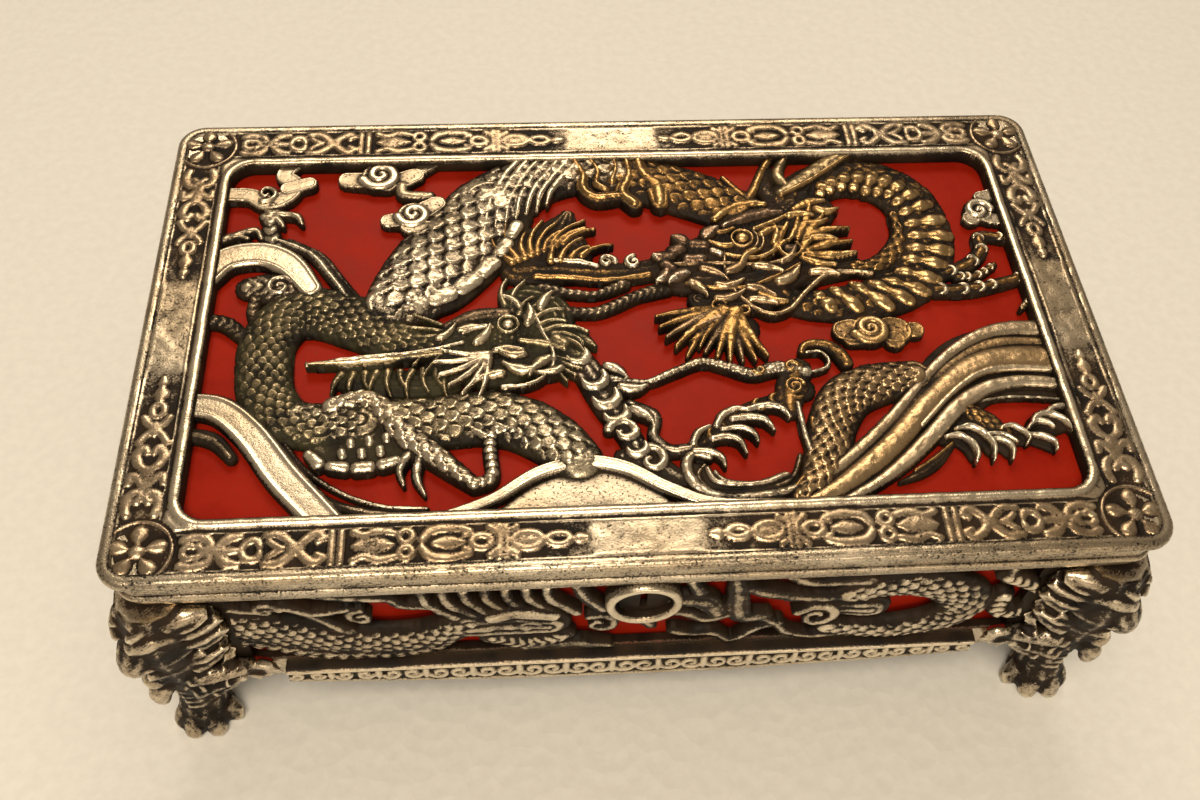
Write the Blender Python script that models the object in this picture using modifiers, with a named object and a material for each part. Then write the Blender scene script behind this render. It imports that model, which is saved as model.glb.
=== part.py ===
"""A low cast-metal casket on four mask feet, with a lift-off lid of pierced dragon relief.

Metres, +Z up. The origin is on the ground under the middle of the box. +X runs along its
length, and the front, with the lock, faces -Y. The feet stand on the ground, the box stands on
the feet, and the lid's skirt rests on the box's rim.
"""

import math

import bmesh
import bpy
from mathutils import Matrix

MM = 0.001

# The whole object
TOTAL_HEIGHT = 64 * MM
TOUCH_GAP = 0.3 * MM            # between pieces that rest on or against each other

# The lid casting
LID_LENGTH = 180 * MM
LID_WIDTH = 107 * MM
LID_CORNER = 5.5 * MM           # radius of the lid's corners in plan
BORDER_WIDTH = 12 * MM          # from the lid's edge to the opening
OPENING_CORNER = 4.5 * MM       # radius of the opening's corners
LIP_WIDTH = 1.7 * MM            # bright bead round the opening
LIP_RISE = 0.5 * MM             # of the bead over the border
LIP_SHOULDER = 0.25             # share of the bead's width that slopes, on each side
GROOVE_WIDTH = 1.1 * MM         # between bead and border
GROOVE_DEPTH = 0.4 * MM
EDGE_ROUND = 1.2 * MM           # of the lid's upper edge
EDGE_DEPTH = 2.3 * MM           # of the lid's edge, border to underside
PLATE_DEPTH = 3.3 * MM          # from the top of the lid to the underside of the plate
SKIRT_INSET = 1.8 * MM
SKIRT_WALL = 1.8 * MM
SKIRT_DEPTH = 9 * MM            # from the top of the lid to the skirt's lower edge
SKIRT_BEAD = 0.6 * MM           # how far the bead at the skirt's foot stands out
SKIRT_BEAD_HEIGHT = 1.4 * MM
SMALLEST_CORNER = 0.5 * MM      # of the lid's and the skirt's inner outlines
ROSETTE_RADIUS = 6.1 * MM
ROSETTE_RELIEF = 1 * MM         # from its ground to its highest point
ROSETTE_INSET = 6.4 * MM        # of its centre from the lid's edges
PETALS = 5

# The red panel under the openwork
PANEL_THICKNESS = 1 * MM
PANEL_LAP = 4 * MM              # past the opening on every side

# The box casting
WALL_THICKNESS = 2 * MM
BOX_CORNER = 1 * MM             # radius of the walls' upright edges
FLANGE_CLEARANCE = 0.4 * MM     # between the box's upstand and the lid's skirt
FLANGE_HEIGHT = 4 * MM          # of the upstand over the rim
RIM_REACH = 1.9 * MM            # how far the rim stands out of the wall
RIM_HEIGHT = 1.7 * MM
RIM_SWELL = 0.15 * MM           # of the middle of the rim's face
NECK_REACH = 1.3 * MM           # of the thin moulding under the rim
NECK_HEIGHT = 1.8 * MM
NECK_SWELL = 0.3 * MM
FLOOR_THICKNESS = 2 * MM
FLOOR_HEIGHT = 17 * MM          # of the box's underside over the ground
WINDOW_DROP = 13.5 * MM         # from the top of the lid to the top of the pierced zone
WINDOW_BOTTOM = 24 * MM         # of the pierced zone, over the ground
POST_WIDTH = 14 * MM            # of the plain wall at each corner
WALL_RELIEF_DEPTH = 3.2 * MM    # from the relief's back to its highest point
WALL_RELIEF_SINK = 1.3 * MM     # of the relief's back behind the wall's face
WINDOW_LAP = 0.5 * MM           # of the relief over the edges of the window
VOLUTE_ROOM = (5.8 * MM, 3.9 * MM)  # the relief's lower corners leave room for the feet's volutes
APRON_TOP = 22 * MM             # the apron is the ornament band along the foot of each wall
APRON_MIDDLE_DROP = 8.5 * MM    # its height in the middle
APRON_END_DROP = 4.7 * MM       # and at its ends
APRON_REACH = 2 * MM            # how far it stands out of the wall
APRON_END = 19.5 * MM           # from the wall's corner to the apron's end
APRON_BEAD = 0.8 * MM           # radius of the bead along its top
APRON_STEPS = 6                 # along its bowed lower edge
CUT_PAST = 4 * MM               # how far a cutter reaches past what it cuts

# The lock
LOCK_DROP = 18.6 * MM           # from the top of the lid to the lock's centre
LOCK_RADIUS = 6.9 * MM
LOCK_BORE = 5.1 * MM
LOCK_REACH = 2.8 * MM           # how far the ring stands out of the wall
LOCK_SEAT = 0.4                 # share of the wall's thickness that is left of it behind the plug
LOCK_SIDES = 24
PLUG_THICKNESS = 1.4 * MM
PLUG_CLEARANCE = 0.3 * MM
SLOT_WIDTH = 1.3 * MM
SLOT_LENGTH = 6.4 * MM

# The red lining
LINING_THICKNESS = 1.2 * MM
LINING_DROP = 1.3 * MM          # of its edge below the top of the upstand

# The reliefs
RELIEF_LAP = 0.6 * MM           # of the lid's relief into the frame round it
RELIEF_RAISE = 0.3 * MM         # of its back over the underside of the plate
RELIEF_DROP = 0.3 * MM          # of its highest point below the top of the lid

# How finely the sculpted forms are made
VOXEL = 0.75 * MM
RELIEF_BACK = 0.13              # share of a voxel, from the strokes' middle to the relief's back
FOOT_VOXEL = 0.6 * MM
STEPS_PER_SPAN = 5
CORNER_POINTS = 4
LID_RELIEF_TRIANGLES = 2200
FRONT_RELIEF_TRIANGLES = 740
BACK_RELIEF_TRIANGLES = 360
SIDE_RELIEF_TRIANGLES = 170
FOOT_TRIANGLES = 400

# Worked out from the sizes above
LID_HALF = (LID_LENGTH / 2, LID_WIDTH / 2)
BORDER_TOP = TOTAL_HEIGHT - LIP_RISE
PLATE_BOTTOM = TOTAL_HEIGHT - PLATE_DEPTH
SKIRT_BOTTOM = TOTAL_HEIGHT - SKIRT_DEPTH
RIM_TOP = SKIRT_BOTTOM - TOUCH_GAP
RIM_BOTTOM = RIM_TOP - RIM_HEIGHT
NECK_BOTTOM = RIM_BOTTOM - NECK_HEIGHT
WINDOW_TOP = TOTAL_HEIGHT - WINDOW_DROP
LOCK_HEIGHT = TOTAL_HEIGHT - LOCK_DROP
WALL_INSET = SKIRT_INSET + SKIRT_WALL + FLANGE_CLEARANCE
WALL_HALF = (LID_HALF[0] - WALL_INSET, LID_HALF[1] - WALL_INSET)
OPENING_HALF = (LID_HALF[0] - BORDER_WIDTH, LID_HALF[1] - BORDER_WIDTH)

# The size at which the strokes below were drawn, in millimetres: they stretch with the openings
DRAWN_OPENING = (156, 83)
DRAWN_WINDOW = (144, 26.5)
DRAWN_SIDE_WINDOW = 71
DRAWN_FOOT_HEIGHT = 51.2


def metal(name, colour, roughness, metallic):
    """A Principled material."""
    material = bpy.data.materials.new(name)
    material.use_nodes = True
    shader = material.node_tree.nodes["Principled BSDF"]
    shader.inputs["Base Color"].default_value = (*colour, 1)
    shader.inputs["Roughness"].default_value = roughness
    shader.inputs["Metallic"].default_value = metallic
    material.diffuse_color = (*colour, 1)
    return material


def new_collection(name):
    group = bpy.data.collections.new(name)
    bpy.context.scene.collection.children.link(group)
    return group


def add_object(name, mesh, group):
    thing = bpy.data.objects.new(name, mesh)
    group.objects.link(thing)
    return thing


def evaluated_mesh(thing):
    """A mesh of the object with its modifiers applied, in its own space."""
    bpy.context.view_layer.update()
    graph = bpy.context.evaluated_depsgraph_get()
    return bpy.data.meshes.new_from_object(thing.evaluated_get(graph), depsgraph=graph)


def apply_modifiers(thing):
    mesh = evaluated_mesh(thing)
    thing.modifiers.clear()
    thing.data = mesh


def combine(base, tools, operation, solver="EXACT"):
    """Joins each tool to the base, or cuts it away, and removes the tools."""
    for tool in tools:
        boolean = base.modifiers.new(tool.name, "BOOLEAN")
        boolean.operation = operation
        boolean.solver = solver
        boolean.object = tool
        tool.hide_render = True
        tool.display_type = "WIRE"
    apply_modifiers(base)
    for tool in tools:
        bpy.data.objects.remove(tool, do_unlink=True)


def rounded_rectangle(half, corner, height):
    """Points round a rectangle with rounded corners, the same number for any size."""
    points = []
    for turn, (side_x, side_y) in enumerate(((1, 1), (-1, 1), (-1, -1), (1, -1))):
        centre = (side_x * (half[0] - corner), side_y * (half[1] - corner))
        for step in range(CORNER_POINTS):
            angle = (turn + step / (CORNER_POINTS - 1)) * math.pi / 2
            points.append((centre[0] + corner * math.cos(angle),
                           centre[1] + corner * math.sin(angle), height))
    return points


def loft(name, loops, group, closed):
    """A solid through loops of equal counts: closed on itself, or capped at both ends."""
    work = bmesh.new()
    rows = [[work.verts.new(point) for point in loop] for loop in loops]
    pairs = list(zip(rows, rows[1:]))
    if closed:
        pairs.append((rows[-1], rows[0]))
    for low, high in pairs:
        for index, corner in enumerate(low):
            after = (index + 1) % len(low)
            work.faces.new((corner, low[after], high[after], high[index]))
    if not closed:
        work.faces.new(rows[0])
        work.faces.new(rows[-1])
    bmesh.ops.recalc_face_normals(work, faces=work.faces)
    mesh = bpy.data.meshes.new(name)
    work.to_mesh(mesh)
    work.free()
    return add_object(name, mesh, group)


def moulding(name, profile, group, closed):
    """A loft round the box: each profile entry is an inset from the lid's edge, a corner radius
    and a height."""
    loops = [rounded_rectangle((LID_HALF[0] - inset, LID_HALF[1] - inset), corner, height)
             for inset, corner, height in profile]
    return loft(name, loops, group, closed)


def block(name, low, high, group):
    work = bmesh.new()
    bmesh.ops.create_cube(work, size=1)
    for vert in work.verts:
        vert.co = [low[axis] + (vert.co[axis] + 0.5) * (high[axis] - low[axis]) for axis in range(3)]
    mesh = bpy.data.meshes.new(name)
    work.to_mesh(mesh)
    work.free()
    return add_object(name, mesh, group)


def smooth_run(points):
    """A smooth curve through the points. Every value is eased, the radius too."""
    ends = [points[0], *points, points[-1]]
    run = []
    for before, start, end, after in zip(ends, ends[1:], ends[2:], ends[3:]):
        for step in range(STEPS_PER_SPAN):
            t = step / STEPS_PER_SPAN
            run.append(tuple(
                b + 0.5 * t * (c - a + t * (2 * a - 5 * b + 4 * c - d + t * (3 * b - a - 3 * c + d)))
                for a, b, c, d in zip(before, start, end, after)))
    run.append(tuple(points[-1]))
    return run


def tube_mesh(run):
    """A round tube with a radius of its own at each point; points are (x, y, z, radius)."""
    curve = bpy.data.curves.new("stroke", "CURVE")
    curve.dimensions = "3D"
    curve.bevel_depth = 1
    curve.bevel_resolution = 2
    curve.use_fill_caps = True
    spline = curve.splines.new("POLY")
    spline.points.add(len(run) - 1)
    for point, (x, y, z, radius) in zip(spline.points, run):
        point.co = (x, y, z, 1)
        point.radius = radius
    thing = bpy.data.objects.new("stroke", curve)
    bpy.context.scene.collection.objects.link(thing)
    mesh = evaluated_mesh(thing)
    bpy.data.objects.remove(thing, do_unlink=True)
    work = bmesh.new()
    work.from_mesh(mesh)
    bmesh.ops.remove_doubles(work, verts=work.verts, dist=0.001 * MM)
    work.to_mesh(mesh)
    work.free()
    return mesh


def sculpt(name, tubes, voxel, group):
    """Melts overlapping tube meshes into one skin."""
    work = bmesh.new()
    for mesh in tubes:
        work.from_mesh(mesh)
        bpy.data.meshes.remove(mesh)
    joined = bpy.data.meshes.new(name)
    work.to_mesh(joined)
    work.free()
    thing = add_object(name, joined, group)
    remesh = thing.modifiers.new("melt", "REMESH")
    remesh.mode = "VOXEL"
    remesh.voxel_size = voxel
    apply_modifiers(thing)
    return thing


def thin_out(thing, triangles):
    """Thins a skin to about the wanted number of triangles."""
    thing.data.calc_loop_triangles()
    thin = thing.modifiers.new("thin", "DECIMATE")
    thin.ratio = min(1.0, triangles / len(thing.data.loop_triangles))
    apply_modifiers(thing)


def stroke(rise, *points):
    """One modelled stroke: its height, and its centre line as (x, y, half width), all drawn
    millimetres."""
    return rise, points


def relief(name, strokes, stretch, low, high, depth, triangles, group):
    """A relief in the XY plane, from strokes. It lies between the low and high corner and its
    back is flat at z = 0."""
    tallest = max(rise for rise, _ in strokes)
    tubes = []
    for rise, points in strokes:
        width = max(radius for _, _, radius in points)
        mesh = tube_mesh([(x, y, 0, radius) for x, y, radius in smooth_run(points)])
        mesh.transform(Matrix.Diagonal((stretch[0], stretch[1], depth * rise / tallest / width, 1)))
        tubes.append(mesh)
    thing = sculpt(name, tubes, VOXEL, group)
    thin_out(thing, triangles)
    back = RELIEF_BACK * VOXEL
    room = block(f"{name}_room", (*low, back), (*high, 2 * depth), group)
    combine(thing, [room], "INTERSECT", "MANIFOLD")
    thing.data.transform(Matrix.Translation((0, 0, -back)))
    return thing


def scroll(x, y, radius, width, start, turns, rise, steps=8):
    """A stroke that coils inwards about (x, y), from the start angle in degrees."""
    points = []
    for step in range(steps + 1):
        share = step / steps
        angle = math.radians(start + 360 * turns * share)
        reach = radius * (1 - 0.75 * share)
        points.append((x + reach * math.cos(angle), y + reach * math.sin(angle),
                       width * (1 - 0.3 * share)))
    return stroke(rise, *points)


def beside(points, share):
    """The same line, moved sideways by a share of its own half width, which it then narrows."""
    moved = []
    for index, (x, y, width) in enumerate(points):
        last = points[max(index - 1, 0)]
        following = points[min(index + 1, len(points) - 1)]
        along = (following[0] - last[0], following[1] - last[1])
        length = math.hypot(*along)
        moved.append((x - along[1] / length * width * share,
                      y + along[0] / length * width * share, width * 0.26))
    return moved


# The lid's relief. Heights are in drawn millimetres over the relief's back.
DRAGON = 2.9
HEAD = 3.0
WAVE = 2.4
CLOUD = 2.5
FOAM = 2.2


def great_wave():
    """Ridges that sweep down from the right of the frame, and the crest that curls before them."""
    middle = [(79, -12.5, 8.6), (69, -12, 8.4), (61, -16, 7.2), (52, -24.5, 6), (43, -33, 5),
              (34, -39.5, 3.6), (27, -42, 2.4)]
    ridges = [stroke(WAVE, *beside(middle, share)) for share in (-0.78, -0.36, 0.36, 0.78)]
    return [
        *ridges,
        stroke(WAVE + 0.3, *beside(middle, 0)),
        stroke(1.8, (44, -38.2, 0.9), (50, -36.5, 0.9), (54, -32.8, 0.9), (57, -29.5, 0.9)),
        stroke(FOAM, (12, -32, 0.9), (9, -31.2, 1.2), (7.6, -34, 1.3), (9, -38, 1.3), (14, -40, 1.4),
               (21, -39.6, 1.4), (27, -37.6, 1.4), (30, -33, 1.3), (29.5, -27, 1.2), (29, -21, 1.4)),
        stroke(FOAM - 0.5, (11, -34.5, 1.5), (14, -37.2, 1.5), (20, -38, 1.2), (26, -36.2, 1)),
    ]


def left_waves():
    """The broad band from the left of the frame to the bottom, and the hooked wave above it."""
    return [
        stroke(WAVE, (-80, -17.3, 2.7), (-74, -18.5, 2.9), (-68, -24, 3.1), (-62, -32.5, 3.3),
               (-56.5, -39, 3.2), (-53, -43, 3)),
        stroke(WAVE - 0.4, (-80, -23, 1.4), (-74.5, -24.7, 1.5), (-71, -28.5, 1.1)),
        stroke(WAVE - 0.2, (-66, -23, 1.2), (-61, -31.5, 1.3), (-55, -37, 1.3), (-47, -40.3, 1.2),
               (-38, -41.3, 1.1), (-29, -41.8, 1.1)),
        stroke(WAVE + 0.2, (-80, 12.5, 3), (-76.5, 17, 3.3), (-70, 18, 3.3), (-64.5, 15.2, 3),
               (-60, 9, 2.2)),
        stroke(WAVE, (-68, 22, 1.2), (-61, 18.3, 1.5), (-56.3, 12, 1.5), (-52.5, 6, 1.4), (-48, 1, 1.2)),
        stroke(1.7, (-72, 10, 2.5), (-66, 9.5, 4.2), (-60, 6, 4)),
        stroke(1.7, (-70, 8, 1.6), (-70.5, 4, 1.5), (-69, 0, 1.6)),
        stroke(1.9, (-80, 2.5, 1.8), (-75.5, 1.5, 1.9), (-72, -1.5, 1.7)),
    ]


def middle_waves():
    """The low hump at the bottom with its smooth field."""
    return [
        stroke(WAVE, (-35, -42, 1.1), (-26, -38.8, 1.2), (-18, -34, 1.3), (-10, -32.1, 1.4),
               (-3, -33.5, 1.4), (4, -37.8, 1.3), (12, -41.2, 1.1), (25, -41.8, 1)),
        stroke(WAVE - 0.3, (-23, -42, 1.2), (-15, -39, 3.4), (-8, -38, 4.2), (-1, -40, 3), (5, -42.5, 1)),
        stroke(FOAM, (-3, -31, 1.8), (2, -32.5, 2.6), (5.5, -35, 2.2), (9, -36, 2.4)),
    ]


def foam():
    """Branching spray between the two dragons."""
    return [
        stroke(FOAM, (-11, -8, 3), (-7.8, -13, 3.3), (-5.5, -18, 3.4), (-3.5, -22.5, 3.2),
               (-1.5, -27, 2.4), (0, -31, 3)),
        scroll(-2.6, -26.3, 2.6, 1.1, 160, -1, FOAM),
        stroke(FOAM, (-1, -20, 1.3), (3.2, -22.8, 1.4), (2.6, -27, 1.3), (5, -30, 1.5), (10, -29.8, 1.4)),
        stroke(FOAM, (-4, -14.5, 1.4), (2, -15.4, 1.1), (8, -13, 1.2), (13, -11, 1.3), (17, -12, 1.5),
               (22, -14, 1.7), (27, -12.8, 1.9), (32, -14, 1.8)),
        stroke(FOAM, (31, -18, 3), (26, -20, 2.2), (21, -21.5, 2.1), (17, -24, 2.2), (13, -27.5, 1.9),
               (9, -30.5, 1.8)),
        stroke(FOAM + 0.3, (17, -24.3, 1.4), (21, -24.3, 1.5), (24.2, -26.4, 1)),
        stroke(FOAM + 0.3, (13, -28.5, 1.4), (16.5, -29, 1.4), (18.3, -31.2, 0.9)),
        stroke(FOAM, (28, -22, 2.2), (29, -17, 3.2), (31, -13, 2.6)),
        stroke(FOAM, (31, -14.5, 1.3), (36.5, -13, 1.4), (38.5, -10, 1.3), (36.5, -7.5, 1.2),
               (33.5, -7.8, 1), (32.3, -9.5, 0.9)),
    ]


def clouds():
    """Scrolled clouds along the top, at the right, and under the right dragon's neck."""
    return [
        stroke(CLOUD, (-80, 34.3, 1.9), (-74, 34, 2.1), (-70.5, 31.8, 2.2), (-66.5, 33.5, 2.1),
               (-65.3, 37, 2.1), (-67.5, 39.5, 2), (-65.5, 43, 1.9)),
        stroke(CLOUD, (-66.5, 35.5, 2), (-62.3, 37, 1.9)),
        stroke(FOAM, (-69, 31, 2.4), (-69.3, 26, 2), (-68, 20, 2.4)),
        stroke(FOAM, (-68, 28.5, 1.2), (-64.5, 28.3, 1.2), (-63, 26.2, 0.9)),
        stroke(FOAM, (-80, 21, 1.2), (-76, 23.2, 1.3), (-72, 24, 1.2), (-69, 22, 1.4)),
        stroke(CLOUD, (-54.6, 38, 2.2), (-50, 36.9, 2.5), (-45.5, 37.2, 2.7), (-42, 38.8, 2.5),
               (-39.5, 40.5, 1.6), (-37, 43, 1.6)),
        scroll(-47.8, 40, 4, 2, 200, 1, CLOUD + 0.2),
        stroke(CLOUD, (-43.5, 36, 1.8), (-43, 33.6, 1.7), (-38, 33, 1.6)),
        stroke(CLOUD, (-46, 26.3, 1.8), (-42.5, 26.8, 2.7), (-39.5, 27.8, 3.4), (-36.5, 30.5, 2.4)),
        stroke(CLOUD, (-42, 24.5, 1.8), (-36.5, 24.2, 1.9), (-33, 26, 1.8)),
        scroll(73.2, 25.4, 3, 1.9, 10, 0.8, CLOUD),
        stroke(CLOUD, (75, 28, 1.3), (80, 31, 1.4)),
        stroke(CLOUD, (75, 24, 1.5), (80, 22.5, 1.5)),
        stroke(CLOUD, (39.5, -5.3, 1.9), (43.5, -4.3, 2.9), (48, -4, 3.3), (52.5, -4.6, 2.4),
               (55, -5, 1.7)),
        stroke(CLOUD, (45, -6.8, 2), (50.3, -7.8, 1.6)),
    ]


def right_dragon():
    """The dragon whose neck rings the opening at the right, with its head towards the middle."""
    return [
        stroke(DRAGON, (35, 30, 5), (41.5, 34.6, 5.2), (48, 36.8, 5.4), (55, 35.2, 5.7),
               (60.3, 30, 6), (62, 22, 6), (60.8, 14, 5.8), (56.5, 7.7, 5.4), (50, 4, 5),
               (43, 2.6, 4.4), (36, 2.5, 3.6), (30, 4, 3)),
        stroke(2, (56, 25, 1.4), (55.5, 20, 1.8), (53, 14.5, 2.2), (49, 12.5, 2.4), (42, 11.5, 2.8),
               (34, 10, 3.4)),
        stroke(HEAD, (40, 27, 4.8), (33, 24, 6.4), (26, 19.8, 6), (19, 17, 4.6), (13, 16, 3.6),
               (8.4, 14.2, 2.6)),
        stroke(HEAD, (19.5, 25, 1.7), (26, 28.5, 2.3), (33, 28, 2.2)),
        stroke(2.6, (36, 14, 4), (29, 9.5, 5), (22, 8, 5.4), (15, 9, 5), (8.5, 8.8, 3.6)),
        stroke(2.4, (14, 4, 2.4), (20, 2.4, 2.8), (27, 3.6, 3)),
        stroke(HEAD, (34, 31.5, 1.7), (39, 34.8, 1.8), (44, 38.6, 1.5), (50, 43.5, 1.2)),
        stroke(HEAD, (34.5, 33, 1.8), (34.2, 37, 1.6), (36, 43, 1.2)),
        stroke(2.4, (27, 31, 1.5), (24.5, 35, 1.3), (22.9, 36.6, 0.9)),
        stroke(2.4, (27, 31, 1.5), (29, 35, 1.3), (32, 39.5, 1.2), (34, 43, 1.4)),
        stroke(2.2, (40, 23, 4.6), (41, 15.5, 3.2)),
        stroke(2.2, (39, 19, 2.2), (43, 20, 1.6), (46.2, 20.7, 0.9)),
        stroke(2.2, (39, 16.5, 2.2), (43.5, 16.8, 1.6), (47.5, 16.2, 1)),
        stroke(2.3, (20, 0, 3.2), (15.5, -2.6, 3.4), (10, -4.2, 2.4), (6.3, -3.6, 1.2)),
        stroke(2.3, (15, -4, 2.4), (10, -6.6, 1.6), (6.8, -8.3, 0.9)),
        stroke(2.3, (20, 0, 3.6), (20.8, -5.5, 3.4), (20.5, -10.5, 2)),
        stroke(2.3, (23, -2, 2), (24.3, -6, 1.6), (24.8, -10, 1)),
    ]


def right_dragon_body():
    """Its body along the top, which turns down to the left, and its tail behind the great wave."""
    return [
        stroke(DRAGON, (24, 28, 6), (16, 32.5, 6.6), (8, 36, 6.5), (0, 38.8, 6), (-9, 39.5, 6.2),
               (-18, 36.8, 7.2), (-25.5, 30.5, 8.6), (-31, 22, 9.6), (-36.5, 14, 9.6),
               (-41, 8, 8), (-45, 4.5, 5.2)),
        stroke(HEAD, (-9, 43, 1.4), (-6.6, 38, 1.6), (-6.6, 33.6, 1.6), (-4, 31, 1.7), (0.5, 31.4, 1.5)),
        stroke(HEAD, (2.5, 43, 1.4), (3, 37, 1.6), (1.3, 32.5, 1.8), (3.6, 29, 1.9)),
        stroke(HEAD, (5, 43, 1.5), (6, 37.5, 2.2), (8.5, 34, 2.8), (8.8, 29.2, 2)),
        stroke(2.4, (-23, 17, 4.2), (-17, 18.5, 5.4), (-12.5, 22, 4.2), (-10.2, 27, 1.6)),
        stroke(2.4, (-10, 21, 3), (-8, 16.5, 2.6)),
        stroke(2.3, (-21, 12.5, 3.2), (-14, 12.5, 3.6), (-8, 12, 3), (-3, 11.5, 3), (3, 11.8, 3),
               (8, 13, 3)),
        stroke(2.4, (-4, 14, 1.6), (-1.5, 14.8, 1.4)),
        stroke(2.4, (0.5, 14.8, 1.4), (3, 14, 1.6)),
        stroke(DRAGON, (52, -15.5, 4.6), (45, -16.6, 5), (38.5, -20, 5), (34.8, -26, 4.6),
               (33.2, -32, 4.2), (31.5, -38, 3.6)),
    ]


def right_claws():
    """The claws and fins that reach the right of the frame."""
    return [
        stroke(2.2, (58, -24, 3), (61.5, -26, 3)),
        stroke(2.2, (54.5, -29.5, 1.3), (59, -30.6, 1.4), (59.6, -33.8, 0.9)),
        stroke(2.2, (58.5, -27.6, 1.4), (62, -29.4, 1.4), (62.7, -33.6, 0.9)),
        stroke(2.2, (62, -30, 1.3), (65.5, -31.2, 1.3), (65.9, -34.2, 0.9)),
        stroke(2.2, (63, -28.4, 1.3), (68.6, -28.8, 1.4), (70, -31.2, 1)),
        stroke(2.2, (68, -29.6, 1.3), (73, -30, 1.3), (74.3, -32, 0.9)),
        stroke(2.2, (69, -27.8, 1.3), (73, -25.7, 1.5), (80, -25.2, 1.5)),
        stroke(2.3, (61, 5, 1.8), (67, 5, 1.9), (72, 5.8, 1.7), (80, 8, 1.5)),
        stroke(2.3, (63, 9, 1.8), (69, 11.5, 1.9), (72.4, 15, 1.8), (73.2, 19, 1.6), (80, 17.5, 1.2)),
        stroke(2, (80, 3, 1.2), (76.5, -0.5, 1)),
    ]


def left_dragon():
    """The dragon coiled at the left, with its head in the middle and its body low down."""
    return [
        stroke(DRAGON, (-56, -23, 4.6), (-62, -21, 4.8), (-66, -16, 5.2), (-67.2, -9, 5.3),
               (-66.8, -2.5, 5.5), (-63, 2.8, 5.7), (-57, 3.4, 6), (-50, 0.3, 5.8), (-44, -3.6, 4.6),
               (-38, -6, 3.4), (-33, -6.5, 3)),
        stroke(DRAGON, (-60, -20.5, 3.4), (-54, -22, 4.4), (-49, -22, 5)),
        stroke(2.5, (-56, -27.5, 2.4), (-50, -27.5, 4.4), (-44, -27, 3.6)),
        stroke(2.5, (-58, -30, 1.8), (-53, -32, 2.4), (-47, -32, 2.5), (-40.5, -30.8, 2.2)),
        stroke(2.8, (-54, -18.8, 2.2), (-48.5, -17.6, 2.4), (-44.5, -20.5, 2.6), (-41, -25, 2.8),
               (-37, -28.8, 2.5), (-33, -32.5, 2.1), (-29, -36, 1.7), (-26, -34.5, 1.6),
               (-26.3, -29, 1.6), (-25.6, -25.3, 1.5), (-21.8, -25.4, 1.3)),
        stroke(2.2, (-38.5, -30, 1.3), (-38.9, -34, 1.1), (-37.4, -37.4, 0.9)),
        stroke(DRAGON, (-43, -21, 4), (-35.5, -22.3, 5.4), (-28, -21.6, 5.8), (-21, -23, 5.8),
               (-15, -27, 5.4), (-11, -31.5, 4.6)),
        stroke(2, (-52, -12.5, 2.4), (-46, -13, 3.2), (-40, -13.6, 3.2), (-34, -13.5, 3)),
        stroke(HEAD, (-38, -6.5, 3), (-31, -4.2, 5.2), (-25, -3.8, 5.4), (-18.5, -4.5, 4.8),
               (-13, -6.5, 3.6)),
        stroke(2.6, (-34, -9.5, 3), (-27, -11.5, 4.2), (-20, -10, 4), (-14, -10, 3.2)),
        stroke(HEAD, (-59, -9.4, 0.9), (-50, -9, 1.1), (-42, -8.3, 1.2), (-36, -8, 1.2)),
        stroke(HEAD, (-34, -1.6, 1.6), (-28, 1.4, 1.7), (-23, 0.8, 1.7)),
        stroke(2.2, (-27, -13, 2.4), (-33.5, -16.8, 1)),
        stroke(2.2, (-25, -13, 2.2), (-28, -17.2, 1)),
        stroke(2.4, (-21, 5.5, 3.2), (-17.5, 5, 4.4), (-14, 1.5, 4), (-13, -4, 3.4)),
        stroke(2.4, (-13, -4, 2.6), (-9, -4.8, 1.8), (-6.6, -6.6, 0.9)),
        stroke(2.4, (-12, -8, 2.8), (-8.4, -9.2, 1.5)),
        stroke(2.3, (-14, 2.5, 1.6), (-7, 1.7, 1.5), (-3, 2.8, 1.6), (2, 5.4, 1.6), (8, 7.4, 2)),
        stroke(2.4, (-16, 8, 1.6), (-10, 6.4, 1.2), (-5, 6.2, 1.2), (0, 8.6, 1.6)),
        stroke(2.2, (-15.5, -10, 1.2), (-16.5, -14, 1), (-21, -16.2, 1)),
        stroke(2.2, (-39, -4, 1.4), (-37, -2.7, 1.5)),
    ]


def lid_relief(group):
    strokes = [*great_wave(), *left_waves(), *middle_waves(), *foam(), *clouds(), *right_dragon(),
               *right_dragon_body(), *right_claws(), *left_dragon()]
    half_x, half_y = OPENING_HALF
    stretch = (2 * half_x / DRAWN_OPENING[0], 2 * half_y / DRAWN_OPENING[1])
    high = (half_x + RELIEF_LAP, half_y + RELIEF_LAP)
    thing = relief("lid_relief", strokes, stretch, (-high[0], -high[1]), high,
                   PLATE_DEPTH - RELIEF_RAISE - RELIEF_DROP, LID_RELIEF_TRIANGLES, group)
    thing.data.transform(Matrix.Translation((0, 0, PLATE_BOTTOM + RELIEF_RAISE)))
    return thing


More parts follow.
